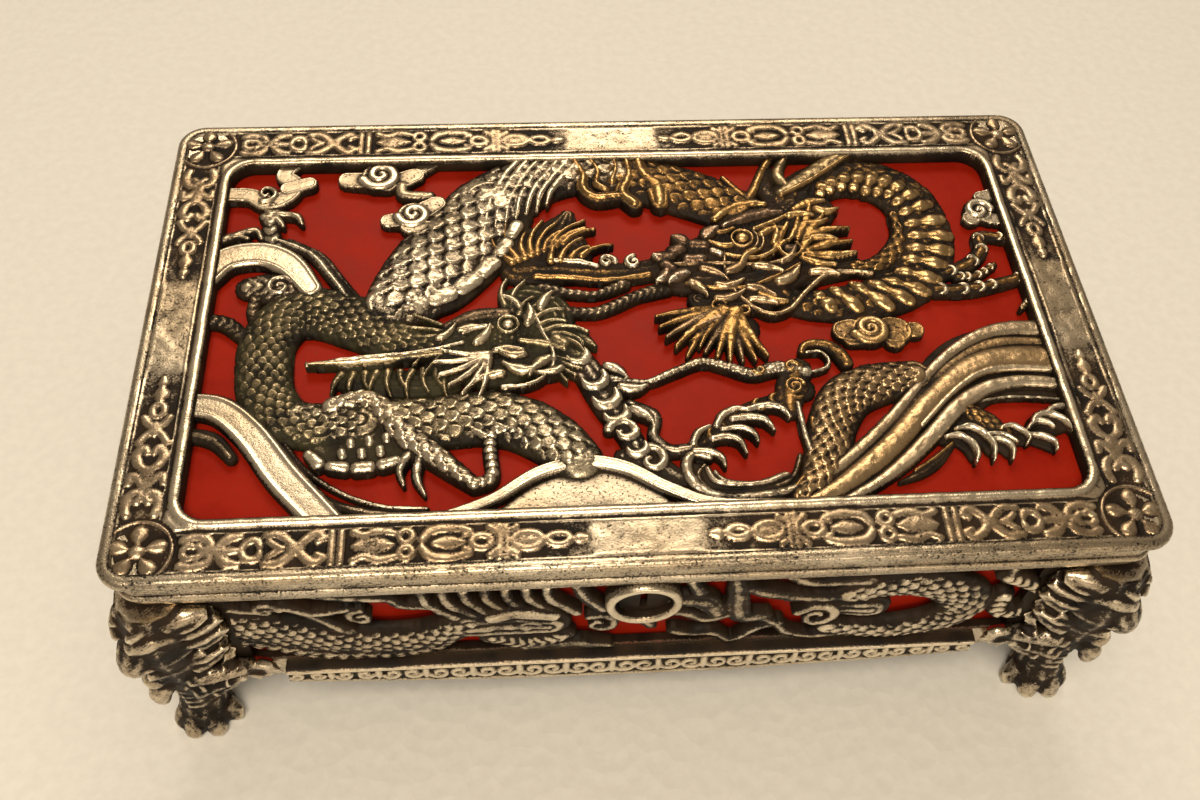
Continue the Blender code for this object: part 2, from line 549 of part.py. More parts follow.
def front_wall_strokes():
    """Two dragons that face the lock, drawn from the window's middle and its lower edge."""
    return [
        stroke(3, (-86, 19.5, 4), (-78, 18.5, 4.6), (-71, 15.5, 5.6), (-62, 11, 6), (-52, 7.5, 5.4),
               (-42, 7.2, 5.1), (-35, 10, 4.6), (-31, 14, 4)),
        stroke(3.2, (-31, 12, 5), (-24, 13, 6.4), (-17, 12, 4.6)),
        stroke(2.6, (-27, 7, 3), (-20, 4, 3), (-14, 6.5, 2.6)),
        stroke(2.2, (-21, 2.5, 1.4), (-12, 3, 1.6), (-5.5, 1.4, 1.2)),
        stroke(2, (-39, 30, 1.2), (-38, 22, 1.3), (-33, 17, 1.6)),
        stroke(2, (-35, 30, 1.2), (-32.5, 23, 1.3), (-27, 20, 1.6)),
        stroke(2, (-31.5, 30, 1.2), (-28, 23.5, 1.2), (-24, 19, 1.6)),
        stroke(2.2, (-22, 30, 1.3), (-18.5, 22.5, 1.5), (-14.5, 16, 1.6)),
        stroke(2.2, (-16, 30, 1.3), (-12, 21.5, 1.5), (-8, 17, 1.6)),
        scroll(-7.5, 11.3, 3.4, 1.4, 120, -0.9, 2),
        stroke(2.6, (-4, 17, 1.6), (0, 13.5, 2.2), (2.2, 9, 1.2)),
        stroke(2.4, (2, 15, 1.8), (8, 14, 1.7), (12, 11.2, 1.7), (16, 12.5, 1.8)),
        stroke(2.2, (6, 19, 2.2), (11, 18.5, 2.8), (14, 13.5, 2.2)),
        stroke(2.2, (8, 30, 1.2), (10, 22, 1.8)),
        stroke(2.2, (16, 30, 1.3), (17, 22, 2.2), (18.5, 12, 2.6), (23, 11, 2)),
        stroke(2.2, (19, 22.5, 1.8), (27, 19, 2), (35, 18, 2), (41, 19, 2.6)),
        stroke(2.2, (26, 30, 1.4), (31, 24, 1.6), (40, 24, 2.2)),
        stroke(2, (6.5, 6.5, 1.5), (10, 5, 1.4), (14, 5, 1.4), (18, 1.4, 1.3), (22, 6, 1.5), (26, 8, 1.6)),
        scroll(33, 10.8, 4.4, 1.4, 150, -0.9, 2.4),
        stroke(2, (22, 11, 1.6), (25.5, 8, 1.2), (29, 3.4, 1.2), (35, 1.8, 1.4), (40, 3, 2)),
        stroke(3, (38, 19, 3.6), (46, 21.4, 4.2), (53, 20.4, 4.8), (59, 16.4, 5.2), (61, 10.8, 5.2),
               (57.5, 5.6, 4.6), (50, 3.2, 3.6), (42, 3.6, 3.2), (36, 5.5, 2.6)),
        stroke(2.2, (37, 13, 3.4), (42, 12, 4)),
        stroke(2.6, (66, 23, 2.4), (70, 20.5, 2.2), (74.5, 16.5, 2.2), (74.5, 11.5, 2.2), (71.5, 8, 2.4),
               (68, 9, 2.2), (67.5, 15, 2.4)),
        stroke(2, (-76, 25, 1.6), (-69, 22, 1.5), (-63, 23, 1.6), (-58, 20, 1.5), (-52, 21.6, 1.4)),
        stroke(2, (-60, 21, 1.5), (-56, 16, 1.6), (-53, 12, 2)),
        stroke(2, (-57, 30, 1.6), (-50, 26.4, 1.4), (-45, 25, 1.4), (-42, 21.5, 1.4), (-37, 21, 1.4)),
        stroke(2, (66, 30, 1.2), (66, 22, 1.4)),
    ]


def back_wall_strokes():
    """The same pair with a scrolled cloud between them, and less between the figures."""
    body = [(-86, 19.5, 4), (-78, 18.5, 4.6), (-71, 15.5, 5.6), (-62, 11, 6), (-52, 7.5, 5.4),
            (-42, 7.2, 5.1), (-35, 10, 4.6), (-31, 14, 4)]
    half = [
        stroke(3, *body),
        stroke(3.2, (-31, 12, 5), (-24, 13, 6.2), (-16, 12, 4.2)),
        stroke(2.2, (-27, 8, 3), (-19, 5, 2.8), (-13, 7.5, 2.2)),
        stroke(2, (-38, 30, 1.3), (-36.5, 22, 1.5), (-31, 17, 1.8)),
        stroke(2.2, (-22, 30, 1.4), (-18.5, 22.5, 1.6), (-14.5, 14, 1.8)),
        stroke(2, (-76, 25, 1.7), (-66, 22, 1.8), (-57, 22, 1.8), (-50, 26, 1.6), (-44, 30, 1.6)),
        stroke(2, (-58, 22, 1.6), (-54, 14, 2)),
    ]
    other = [stroke(rise, *[(-x, y, width) for x, y, width in points]) for rise, points in half]
    return [*half, *other, scroll(0, 12, 6, 2.6, 180, 1, 2.6), stroke(2.2, (-15, 10, 2), (0, 5, 2.4),
            (15, 10, 2)), stroke(2.2, (-4, 30, 1.8), (-4, 16, 2.2))]


def side_wall_strokes():
    """One dragon that winds along the short wall, over a wave."""
    return [
        stroke(3, (-40, 20, 4), (-31, 15, 4.6), (-22, 9.5, 5), (-12, 9, 4.8), (-5, 14.5, 4.6),
               (2, 20, 4.4), (10, 20.5, 4), (15, 16, 3.6)),
        stroke(3.2, (13, 16, 4.4), (20, 12, 5), (26, 9, 3.2)),
        stroke(2.2, (18, 19, 1.6), (26, 22, 1.6), (33, 30, 1.4)),
        stroke(2.2, (26, 10, 2.4), (34, 13, 2), (41, 12, 2)),
        stroke(2, (-20, 30, 1.6), (-15, 22, 2), (-8, 17, 2)),
        stroke(2, (-41, 3, 1.6), (-28, 2, 1.8), (-12, 4, 1.8), (4, 2, 1.8), (20, 3.4, 1.8), (41, 2, 1.6)),
        stroke(2, (-4, 3, 1.6), (2, 9, 1.8), (9, 14, 2)),
        scroll(-29, 23.5, 3.4, 1.7, 220, 1, 2.2),
    ]


def wall_relief(name, strokes, half_window, drawn_length, wall_distance, turn, triangles, group):
    """One wall's relief, stood up against its wall. The turn carries the front to that wall."""
    window_height = WINDOW_TOP - WINDOW_BOTTOM
    stretch = (2 * half_window / drawn_length, window_height / DRAWN_WINDOW[1])
    low = (-half_window - WINDOW_LAP, -WINDOW_LAP)
    high = (half_window + WINDOW_LAP, window_height + WINDOW_LAP)
    thing = relief(name, strokes, stretch, low, high, WALL_RELIEF_DEPTH, triangles, group)
    room_x, room_z = VOLUTE_ROOM
    past = 5 * MM
    corners = [block(f"{name}_corner", (min(side * (half_window - room_x), side * (half_window + past)),
                                        -past, -past),
                     (max(side * (half_window - room_x), side * (half_window + past)), room_z, past), group)
               for side in (-1, 1)]
    combine(thing, corners, "DIFFERENCE")
    thing.data.transform(Matrix.Rotation(math.radians(turn), 4, "Z")
                         @ Matrix.Translation((0, WALL_RELIEF_SINK - wall_distance, WINDOW_BOTTOM))
                         @ Matrix.Rotation(math.pi / 2, 4, "X"))
    return thing


def wall_reliefs(group):
    half_x, half_y = WALL_HALF
    long_window = half_x - POST_WIDTH
    short_window = half_y - POST_WIDTH
    drawn_long, drawn_short = DRAWN_WINDOW[0], DRAWN_SIDE_WINDOW
    return [
        wall_relief("front_relief", front_wall_strokes(), long_window, drawn_long, half_y, 0,
                    FRONT_RELIEF_TRIANGLES, group),
        wall_relief("back_relief", back_wall_strokes(), long_window, drawn_long, half_y, 180,
                    BACK_RELIEF_TRIANGLES, group),
        wall_relief("right_relief", side_wall_strokes(), short_window, drawn_short, half_x, 90,
                    SIDE_RELIEF_TRIANGLES, group),
        wall_relief("left_relief", side_wall_strokes(), short_window, drawn_short, half_x, 270,
                    SIDE_RELIEF_TRIANGLES, group),
    ]


def rosette(name, centre, group):
    """A five-petalled flower in a ring, at a corner of the lid. Its profile is in shares of its
    radius and relief, with the share by which the gaps between the petals are drawn in."""
    profile = [(1, 0, -0.8), (0.92, 0, 0), (0.82, 0, -0.35), (0.74, 0.2, -0.02), (0.3, 0, -0.35),
               (0.24, 0, 0)]
    points = 2 * PETALS
    loops = []
    for radius, dent, height in profile:
        loop = []
        for step in range(points):
            angle = 2 * math.pi * step / points
            reach = ROSETTE_RADIUS * radius * (1 - dent * (step % 2))
            loop.append((centre[0] + reach * math.cos(angle), centre[1] + reach * math.sin(angle),
                         TOTAL_HEIGHT + height * ROSETTE_RELIEF))
        loops.append(loop)
    return loft(name, loops, group, closed=False)


def outer_corner(inset):
    """The corner radius of an outline that runs inside the lid's own."""
    return max(LID_CORNER - inset, SMALLEST_CORNER)


def lip_corner(inset):
    """The corner radius of an outline that runs round the opening."""
    return OPENING_CORNER + BORDER_WIDTH - inset


def lid_profile():
    """The lid casting's cross-section, from the inner foot of the skirt round the plate."""
    inner = SKIRT_INSET + SKIRT_WALL
    lip_inner_top = BORDER_WIDTH - LIP_SHOULDER * LIP_WIDTH
    lip_outer_top = BORDER_WIDTH - (1 - LIP_SHOULDER) * LIP_WIDTH
    lip_outer = BORDER_WIDTH - LIP_WIDTH
    groove_outer = lip_outer - GROOVE_WIDTH
    bead_top = SKIRT_BOTTOM + SKIRT_BEAD_HEIGHT
    bead_shoulder = 0.25 * SKIRT_BEAD_HEIGHT
    bead_inset = SKIRT_INSET - SKIRT_BEAD
    edge_bottom = BORDER_TOP - EDGE_DEPTH
    inside = [
        (inner, outer_corner(inner), SKIRT_BOTTOM),
        (inner, outer_corner(inner), PLATE_BOTTOM),
        (BORDER_WIDTH, OPENING_CORNER, PLATE_BOTTOM),
        (BORDER_WIDTH, OPENING_CORNER, BORDER_TOP),
    ]
    top = [
        (lip_inner_top, lip_corner(lip_inner_top), TOTAL_HEIGHT),
        (lip_outer_top, lip_corner(lip_outer_top), TOTAL_HEIGHT),
        (lip_outer, lip_corner(lip_outer), BORDER_TOP - GROOVE_DEPTH),
        (groove_outer, lip_corner(groove_outer), BORDER_TOP - GROOVE_DEPTH),
        (groove_outer - 0.3 * GROOVE_WIDTH, lip_corner(groove_outer), BORDER_TOP),
    ]
    edge = [
        (EDGE_ROUND, outer_corner(EDGE_ROUND), BORDER_TOP),
        (0.3 * EDGE_ROUND, outer_corner(0.3 * EDGE_ROUND), BORDER_TOP - 0.4 * EDGE_ROUND),
        (0, LID_CORNER, BORDER_TOP - EDGE_ROUND),
        (0.4 * EDGE_ROUND, outer_corner(0.4 * EDGE_ROUND), edge_bottom),
    ]
    skirt = [
        (SKIRT_INSET, outer_corner(SKIRT_INSET), edge_bottom),
        (SKIRT_INSET, outer_corner(SKIRT_INSET), bead_top),
        (bead_inset, outer_corner(bead_inset), bead_top - bead_shoulder),
        (bead_inset, outer_corner(bead_inset), SKIRT_BOTTOM + bead_shoulder),
        (SKIRT_INSET, outer_corner(SKIRT_INSET), SKIRT_BOTTOM),
    ]
    return [*inside, *top, *edge, *skirt]


def make_lid(parts, tools):
    lid = moulding("lid", lid_profile(), parts, closed=True)
    places = [(side_x * (LID_HALF[0] - ROSETTE_INSET), side_y * (LID_HALF[1] - ROSETTE_INSET))
              for side_x in (-1, 1) for side_y in (-1, 1)]
    rosettes = [rosette(f"rosette_{index}", place, tools) for index, place in enumerate(places)]
    combine(lid, rosettes, "UNION")
    combine(lid, [lid_relief(tools)], "UNION", "MANIFOLD")
    return lid


def make_lid_panel(parts):
    top = PLATE_BOTTOM - TOUCH_GAP
    half = (OPENING_HALF[0] + PANEL_LAP, OPENING_HALF[1] + PANEL_LAP)
    loops = [rounded_rectangle(half, OPENING_CORNER, height) for height in (top - PANEL_THICKNESS, top)]
    return loft("lid_panel", loops, parts, closed=False)


def apron(name, half_length, wall_distance, turn, group):
    """The ornament band at the foot of one wall, deeper in the middle, with a bead along its top."""
    sweep = [half_length * (2 * step / APRON_STEPS - 1) for step in range(APRON_STEPS + 1)]
    outline = [(half_length, APRON_TOP), (-half_length, APRON_TOP)]
    for x in sweep:
        drop = APRON_MIDDLE_DROP + (APRON_END_DROP - APRON_MIDDLE_DROP) * (x / half_length) ** 2
        outline.append((x, APRON_TOP - drop))
    back = -wall_distance + 0.5 * WALL_THICKNESS
    front = -wall_distance - APRON_REACH
    loops = [[(x, y, z) for x, z in outline] for y in (back, front)]
    plate = loft(name, loops, group, closed=False)
    bead_end = half_length - 0.5 * APRON_BEAD
    bead_y = front + 0.5 * APRON_BEAD
    bead = add_object(f"{name}_bead", tube_mesh([(-bead_end, bead_y, APRON_TOP, APRON_BEAD),
                                                 (bead_end, bead_y, APRON_TOP, APRON_BEAD)]), group)
    for thing in (plate, bead):
        thing.data.transform(Matrix.Rotation(math.radians(turn), 4, "Z"))
    return [plate, bead]


def disc(name, radius, back, front, group):
    """A round solid on the lock's axis, between two depths in front of the middle of the box."""
    loops = []
    for depth in (back, front):
        loops.append([(radius * math.cos(2 * math.pi * step / LOCK_SIDES), -depth,
                       LOCK_HEIGHT + radius * math.sin(2 * math.pi * step / LOCK_SIDES))
                      for step in range(LOCK_SIDES)])
    return loft(name, loops, group, closed=False)


def box_profile():
    """The box casting's cross-section, from the floor up inside and down outside."""
    inside = WALL_INSET + WALL_THICKNESS
    rim = WALL_INSET - RIM_REACH
    neck = WALL_INSET - NECK_REACH
    return [
        (inside, BOX_CORNER, FLOOR_HEIGHT + FLOOR_THICKNESS),
        (inside, BOX_CORNER, RIM_TOP + FLANGE_HEIGHT),
        (WALL_INSET, BOX_CORNER, RIM_TOP + FLANGE_HEIGHT),
        (WALL_INSET, BOX_CORNER, RIM_TOP),
        (rim, LID_CORNER - rim, RIM_TOP),
        (rim - RIM_SWELL, LID_CORNER - rim, RIM_TOP - 0.4 * RIM_HEIGHT),
        (rim, LID_CORNER - rim, RIM_TOP - 0.8 * RIM_HEIGHT),
        (neck + NECK_SWELL, LID_CORNER - neck, RIM_BOTTOM),
        (neck, LID_CORNER - neck, RIM_BOTTOM - 0.4 * NECK_HEIGHT),
        (neck + NECK_SWELL, LID_CORNER - neck, RIM_BOTTOM - 0.8 * NECK_HEIGHT),
        (WALL_INSET, BOX_CORNER, NECK_BOTTOM),
        (WALL_INSET, BOX_CORNER, FLOOR_HEIGHT),
    ]


def make_box_body(parts, tools):
    half_x, half_y = WALL_HALF
    body = moulding("box_body", box_profile(), parts, closed=False)
    windows = [
        block("long_windows", (POST_WIDTH - half_x, -half_y - CUT_PAST, WINDOW_BOTTOM),
              (half_x - POST_WIDTH, half_y + CUT_PAST, WINDOW_TOP), tools),
        block("short_windows", (-half_x - CUT_PAST, POST_WIDTH - half_y, WINDOW_BOTTOM),
              (half_x + CUT_PAST, half_y - POST_WIDTH, WINDOW_TOP), tools),
    ]
    combine(body, windows, "DIFFERENCE")
    aprons = [
        *apron("front_apron", half_x - APRON_END, half_y, 0, tools),
        *apron("back_apron", half_x - APRON_END, half_y, 180, tools),
        *apron("right_apron", half_y - APRON_END, half_x, 90, tools),
        *apron("left_apron", half_y - APRON_END, half_x, 270, tools),
    ]
    back = half_y - WALL_THICKNESS
    seat = back + (1 - LOCK_SEAT) * WALL_THICKNESS
    ring = disc("lock_ring", LOCK_RADIUS, back, half_y + LOCK_REACH, tools)
    combine(body, [*aprons, ring], "UNION")
    combine(body, wall_reliefs(tools), "UNION", "MANIFOLD")
    bore = disc("lock_bore", LOCK_BORE, seat, half_y + LOCK_REACH + CUT_PAST, tools)
    combine(body, [bore], "DIFFERENCE")
    return body


def make_lock_plug(parts, tools):
    """The slotted disc at the bottom of the lock ring's bore."""
    back = WALL_HALF[1] - LOCK_SEAT * WALL_THICKNESS + TOUCH_GAP
    plug = disc("lock_plug", LOCK_BORE - PLUG_CLEARANCE, back, back + PLUG_THICKNESS, parts)
    front = back + PLUG_THICKNESS
    slot = block("key_slot", (-SLOT_WIDTH / 2, -front - CUT_PAST, LOCK_HEIGHT - SLOT_LENGTH / 2),
                 (SLOT_WIDTH / 2, CUT_PAST - back, LOCK_HEIGHT + SLOT_LENGTH / 2), tools)
    combine(plug, [slot], "DIFFERENCE")
    return plug


def make_lining(parts):
    outer = WALL_INSET + WALL_THICKNESS + TOUCH_GAP
    inner = outer + LINING_THICKNESS
    floor = FLOOR_HEIGHT + FLOOR_THICKNESS + TOUCH_GAP
    top = RIM_TOP + FLANGE_HEIGHT - LINING_DROP
    profile = [
        (inner, BOX_CORNER, floor + LINING_THICKNESS),
        (inner, BOX_CORNER, top),
        (outer, BOX_CORNER, top),
        (outer, BOX_CORNER, floor),
    ]
    return moulding("box_lining", profile, parts, closed=False)


def foot_middle():
    """The head, snout, jaw, leg and paw of a foot, on the diagonal between the two walls. Each
    point is (along, out, up, radius) in drawn millimetres from the wall's corner."""
    head_and_leg = [(-1.2, 53, 5.6), (-0.5, 45, 6.2), (0, 38, 6.3), (-0.4, 31, 5.6), (-0.8, 24, 5.2),
                    (-1, 16, 4.6), (-0.9, 10, 4.4), (-0.3, 5.5, 5), (-0.5, 2, 5.2), (-0.6, -1, 4.8)]
    snout = [(1.8, 40.5, 4.4), (3.6, 37.4, 3.7), (4.8, 34, 2.6)]
    jaw = [(1.2, 29, 3.2), (3.4, 26.6, 2.5), (4.5, 25.6, 1.8)]
    beard = [(2.4, 23, 2.6), (3.8, 20.6, 2.3), (4, 17, 1.3)]
    return [[(place, place, up, radius) for place, up, radius in line]
            for line in (head_and_leg, snout, jaw, beard)]


def foot_side():
    """What lies on one side of the diagonal: brow, eye, lips, mane, arm, hair tufts and toes."""
    volute = [(1.1, -14.6 + 2.1 * math.cos(turn), 23.6 + 2.1 * math.sin(turn), 1.4)
              for turn in (0.4 * math.pi * step for step in range(6))]
    return [
        volute,
        [(0.6, -14.2, 23.6, 1.5), (0.6, -15, 23.6, 1.5)],
        [(4.8, 3, 43, 1.7), (5, 0.4, 44.8, 2), (3.8, -2.8, 45.2, 1.9), (2.6, -5.4, 43.4, 1.5)],
        [(4.2, 0, 40.6, 1.7), (3.9, -1.2, 40.6, 1.7)],
        [(4.9, 1.8, 37.8, 1.5), (4.4, -1.4, 37.2, 1.6), (3.2, -4.4, 38.4, 1.6), (2.2, -7, 41, 1.4)],
        [(5, 3.2, 31.8, 1.6), (4, 0.2, 31.4, 1.7), (3.2, -2.6, 31.8, 1.8), (2.6, -5.2, 33.8, 1.7),
         (2.2, -7.6, 35.6, 1.4)],
        [(2.6, -3.4, 48, 2.4), (2, -7, 49, 2), (1.2, -10.8, 48.6, 1.5)],
        [(2.2, -6.2, 43.6, 2.1), (1.6, -9.6, 44.8, 1.8), (1, -12.4, 46.6, 1.3)],
        [(2.2, -7, 38.6, 2), (1.6, -10.2, 40.6, 1.7), (1, -12.4, 42.6, 1.3)],
        [(2.6, -4.4, 29.4, 2), (1.8, -8, 32, 1.8), (1.2, -11, 35.6, 1.3)],
        [(2.6, -2.4, 25, 2.6), (2.2, -7, 25.2, 2.3), (1.3, -12.4, 25, 1.8)],
        [(2, -1.6, 19, 3.2), (1, -6, 19.2, 2.7), (0.4, -11.4, 20.6, 2)],
        [(2.6, -3.6, 20.8, 2), (2.5, -4.4, 20.8, 2)],
        [(2.1, -8, 20.8, 1.8), (2, -8.6, 20.8, 1.8)],
        [(0.6, -3.4, 14.6, 2.2), (0.2, -7, 15.4, 1.9), (-0.4, -9.8, 16.8, 1.4)],
        [(1.6, -4.6, 14.6, 1.7), (1.5, -5.2, 14.8, 1.7)],
        [(2.4, 1.2, 5.2, 2.4), (3.9, 1.8, 2.4, 2.2), (4.3, 2, 0.2, 2)],
        [(2.4, -1.6, 4.8, 2.3), (3.8, -2.4, 2.2, 2.1), (4.1, -2.6, 0.2, 1.9)],
        [(0.4, -4, 4.4, 2.2), (0.8, -5.4, 2, 2), (0.9, -5.7, 0.2, 1.8)],
    ]


def foot_backing():
    """Metal behind one side's locks and lips, against the wall, so that no gap goes through."""
    lines = []
    for start, end in ((48, 46.5), (41.5, 42.5), (35, 37.5), (28.5, 31), (22.5, 22.8)):
        lines.append([(0.2, -3, start, 3.8), (-0.4, -7.6, (start + end) / 2, 3), (-0.8, -11, end, 2.2)])
    return lines


def foot_strokes():
    """A horned beast's mask over a leg and a paw, the same on both sides of the diagonal."""
    strokes = foot_middle()
    for points in [*foot_side(), *foot_backing()]:
        strokes.append(points)
        strokes.append([(y, x, z, radius) for x, y, z, radius in points])
    return strokes


def make_foot(name, side_x, side_y, parts, tools):
    """One foot, cut to sit round the corner of the box and under its floor."""
    half_x, half_y = WALL_HALF
    up = (NECK_BOTTOM - TOUCH_GAP) / DRAWN_FOOT_HEIGHT
    tubes = []
    for points in foot_strokes():
        mesh = tube_mesh([(x * MM, y * MM, z * up, radius * MM)
                          for x, y, z, radius in smooth_run(points)])
        tubes.append(mesh)
    foot = sculpt(name, tubes, FOOT_VOXEL, parts)
    thin_out(foot, FOOT_TRIANGLES)
    place = Matrix.Translation((half_x, half_y, 0))
    foot.data.transform(Matrix.Diagonal((side_x, side_y, 1, 1)) @ place)
    if side_x * side_y < 0:
        foot.data.flip_normals()
    above = NECK_BOTTOM - TOUCH_GAP
    far = LID_HALF[0] + TOTAL_HEIGHT
    envelope = [
        block("box_space", (-half_x - TOUCH_GAP, -half_y - TOUCH_GAP, FLOOR_HEIGHT - TOUCH_GAP),
              (half_x + TOUCH_GAP, half_y + TOUCH_GAP, above + CUT_PAST), tools),
        block("rim_space", (-far, -far, above), (far, far, above + TOTAL_HEIGHT), tools),
        block("ground", (-far, -far, -TOTAL_HEIGHT), (far, far, 0), tools),
    ]
    combine(foot, envelope, "DIFFERENCE", "MANIFOLD")
    return foot


def main():
    for thing in list(bpy.data.objects):
        bpy.data.objects.remove(thing, do_unlink=True)
    parts = new_collection("casket")
    tools = new_collection("casket_cutters")
    silver = metal("worn_silver", (0.62, 0.55, 0.43), 0.38, 0.9)
    dark_silver = metal("dark_silver", (0.30, 0.23, 0.16), 0.45, 0.9)
    red = metal("red_lacquer", (0.42, 0.035, 0.015), 0.35, 0.0)
    finished = [
        (make_lid(parts, tools), silver),
        (make_lid_panel(parts), red),
        (make_box_body(parts, tools), silver),
        (make_lining(parts), red),
        (make_lock_plug(parts, tools), silver),
        (make_foot("foot_front_left", -1, -1, parts, tools), dark_silver),
        (make_foot("foot_front_right", 1, -1, parts, tools), dark_silver),
        (make_foot("foot_back_left", -1, 1, parts, tools), dark_silver),
        (make_foot("foot_back_right", 1, 1, parts, tools), dark_silver),
    ]
    for thing, material in finished:
        thing.data.materials.clear()
        thing.data.materials.append(material)


main()
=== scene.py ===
"""The looks of the dragon casket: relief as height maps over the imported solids, aged silver over
red lacquer, and the photograph's camera and light."""

import math

import bmesh
import bpy
import numpy as np
from mathutils import Matrix


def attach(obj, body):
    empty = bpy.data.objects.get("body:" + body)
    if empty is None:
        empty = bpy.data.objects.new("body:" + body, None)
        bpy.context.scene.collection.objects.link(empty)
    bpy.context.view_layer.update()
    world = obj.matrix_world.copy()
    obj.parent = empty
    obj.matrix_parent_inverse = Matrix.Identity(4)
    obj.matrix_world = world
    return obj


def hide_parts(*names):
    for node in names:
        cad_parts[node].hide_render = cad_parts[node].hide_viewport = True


MM = 0.001

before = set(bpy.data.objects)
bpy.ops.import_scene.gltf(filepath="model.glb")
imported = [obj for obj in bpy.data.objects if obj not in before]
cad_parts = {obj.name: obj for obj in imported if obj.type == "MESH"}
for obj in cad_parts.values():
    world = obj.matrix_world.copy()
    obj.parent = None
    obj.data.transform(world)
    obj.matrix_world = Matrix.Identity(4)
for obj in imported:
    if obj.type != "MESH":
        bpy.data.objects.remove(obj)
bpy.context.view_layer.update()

# The casket's sizes, as in the solids, in millimetres
TOP = 64.0
LID_HALF = (90.0, 53.5)
LID_CORNER = 5.5
BORDER_WIDTH = 12.0
OPENING_HALF = (78.0, 41.5)
OPENING_CORNER = 4.5
PLATE_BOTTOM = 60.7
LIP_RISE = 0.5
SKIRT_BOTTOM = 55.0
SKIRT_INSET = 1.8
WALL_HALF = (86.0, 49.5)
WALL_THICKNESS = 2.0
WALL_INSET = 4.0
RIM_TOP = 54.7
NECK_BOTTOM = 51.2
FLANGE_TOP = 58.7
FLOOR_HEIGHT = 17.0
FLOOR_THICKNESS = 2.0
WINDOW_BOTTOM = 24.0
WINDOW_TOP = 50.5
POST_WIDTH = 14.0
APRON_TOP = 22.0
APRON_END = 19.5
LOCK_HEIGHT = 45.4
LOCK_RADIUS = 6.9
LOCK_BORE = 5.1
FOOT_REACH = 93.2

# The openings at which the strokes were drawn, in millimetres
DRAWN_OPENING = (156.0, 83.0)
DRAWN_WINDOW = (144.0, 26.5)
DRAWN_SIDE_WINDOW = 71.0
DRAWN_FOOT_HEIGHT = 51.2

# How finely the height maps are sampled
LID_STEP = 0.21
BORDER_STEP = 0.31
WALL_STEP = 0.33
HIDDEN_STEP = 0.5
FOOT_VOXEL = 0.38
OUTLINE_MARGIN = 1.2
STEPS_PER_SPAN = 6

# The four corners, as signs along x and y
CORNERS = ((-1, -1), (-1, 1), (1, -1), (1, 1))

# The walls: name, half length, distance from the middle, direction in degrees, sampling step
WALLS = (
    ("front", WALL_HALF[0], WALL_HALF[1], 0, WALL_STEP),
    ("back", WALL_HALF[0], WALL_HALF[1], 180, HIDDEN_STEP),
    ("right", WALL_HALF[1], WALL_HALF[0], 90, HIDDEN_STEP),
    ("left", WALL_HALF[1], WALL_HALF[0], 270, HIDDEN_STEP))

# How the wear shows: radius in millimetres and gain of the fine and of the broad hollows
FINE_HOLLOWS = (0.5, 1.7)
BROAD_HOLLOWS = (1.8, 0.75)

# The size of the broad bumps of the casting, in millimetres
COARSE_GRAIN = 0.9

# The painted shade at the lower ends of the sides, as shares of the wear above them: the sides darken towards
# the back
PAINTED_SIDE_SHADE = (0.3, 0.3, 0.2, 1)

# The distance from a stroke, as a share of its half width, beyond which nothing reaches
FAR_OFF = 9.0

# Tones: how golden, how green and how brown the metal is. Less than no brown is rubbed clean.
SILVER = (0.0, 0.0, 0.0)
GOLD = (1.0, 0.0, 0.25)
BROWN = (0.6, 0.0, 0.6)
CLEAN = (0.0, 0.0, -1.0)
CLEAN_GOLD = (0.7, 0.05, -0.6)
SATIN = (0.3, 0.0, -0.6)
GREEN = (0.0, 1.0, 0.2)
DULL = (0.15, 0.2, 0.5)
SLATE = (0.0, 0.0, 1.15)
ORANGE = (1.0, 0.0, 0.1)
GREEN_GOLD = (0.6, 0.7, 0.1)
BRIGHT_GOLD = (0.85, 0.0, -0.6)


def smooth_run(points):
    """A smooth curve through the points, every value eased, the width too."""
    ends = [points[0], *points, points[-1]]
    run = []
    for before, start, end, after in zip(ends, ends[1:], ends[2:], ends[3:]):
        for step in range(STEPS_PER_SPAN):
            t = step / STEPS_PER_SPAN
            run.append(tuple(
                b + 0.5 * t * (c - a + t * (2 * a - 5 * b + 4 * c - d + t * (3 * b - a - 3 * c + d)))
                for a, b, c, d in zip(before, start, end, after)))
    run.append(tuple(points[-1]))
    return run


def trace(run, x, y):
    """How the spots of a grid lie to a line of (x, y, half width, extra height) points: distance
    as a share of the half width, length along the line, distance to its side, half width and
    extra height there."""
    shape = (y.shape[0], x.shape[1])
    best = np.full(shape, FAR_OFF)
    along = np.zeros(shape)
    side = np.zeros(shape)
    width = np.ones(shape)
    extra = np.zeros(shape)
    length = 0.0
    for (x0, y0, w0, h0), (x1, y1, w1, h1) in zip(run, run[1:]):
        dx, dy = x1 - x0, y1 - y0
        span = math.hypot(dx, dy)
        if span < 1e-6:
            continue
        reach = max(w0, w1) + OUTLINE_MARGIN
        part = (slice(*np.searchsorted(y[:, 0], (min(y0, y1) - reach, max(y0, y1) + reach))),
                slice(*np.searchsorted(x[0], (min(x0, x1) - reach, max(x0, x1) + reach))))
        px = x[:, part[1]] - x0
        py = y[part[0]] - y0
        t = np.clip((px * dx + py * dy) / span ** 2, 0, 1)
        local = np.maximum(w0 + (w1 - w0) * t, 0.05)
        distance = np.hypot(px - dx * t, py - dy * t)
        ratio = distance / local
        nearer = ratio < best[part]
        best[part] = np.where(nearer, ratio, best[part])
        along[part] = np.where(nearer, length + span * t, along[part])
        side[part] = np.where(nearer, np.sign(dx * py - dy * px) * distance, side[part])
        width[part] = np.where(nearer, local, width[part])
        extra[part] = np.where(nearer, h0 + (h1 - h0) * t, extra[part])
        length += span
    return best, along, side, width, extra
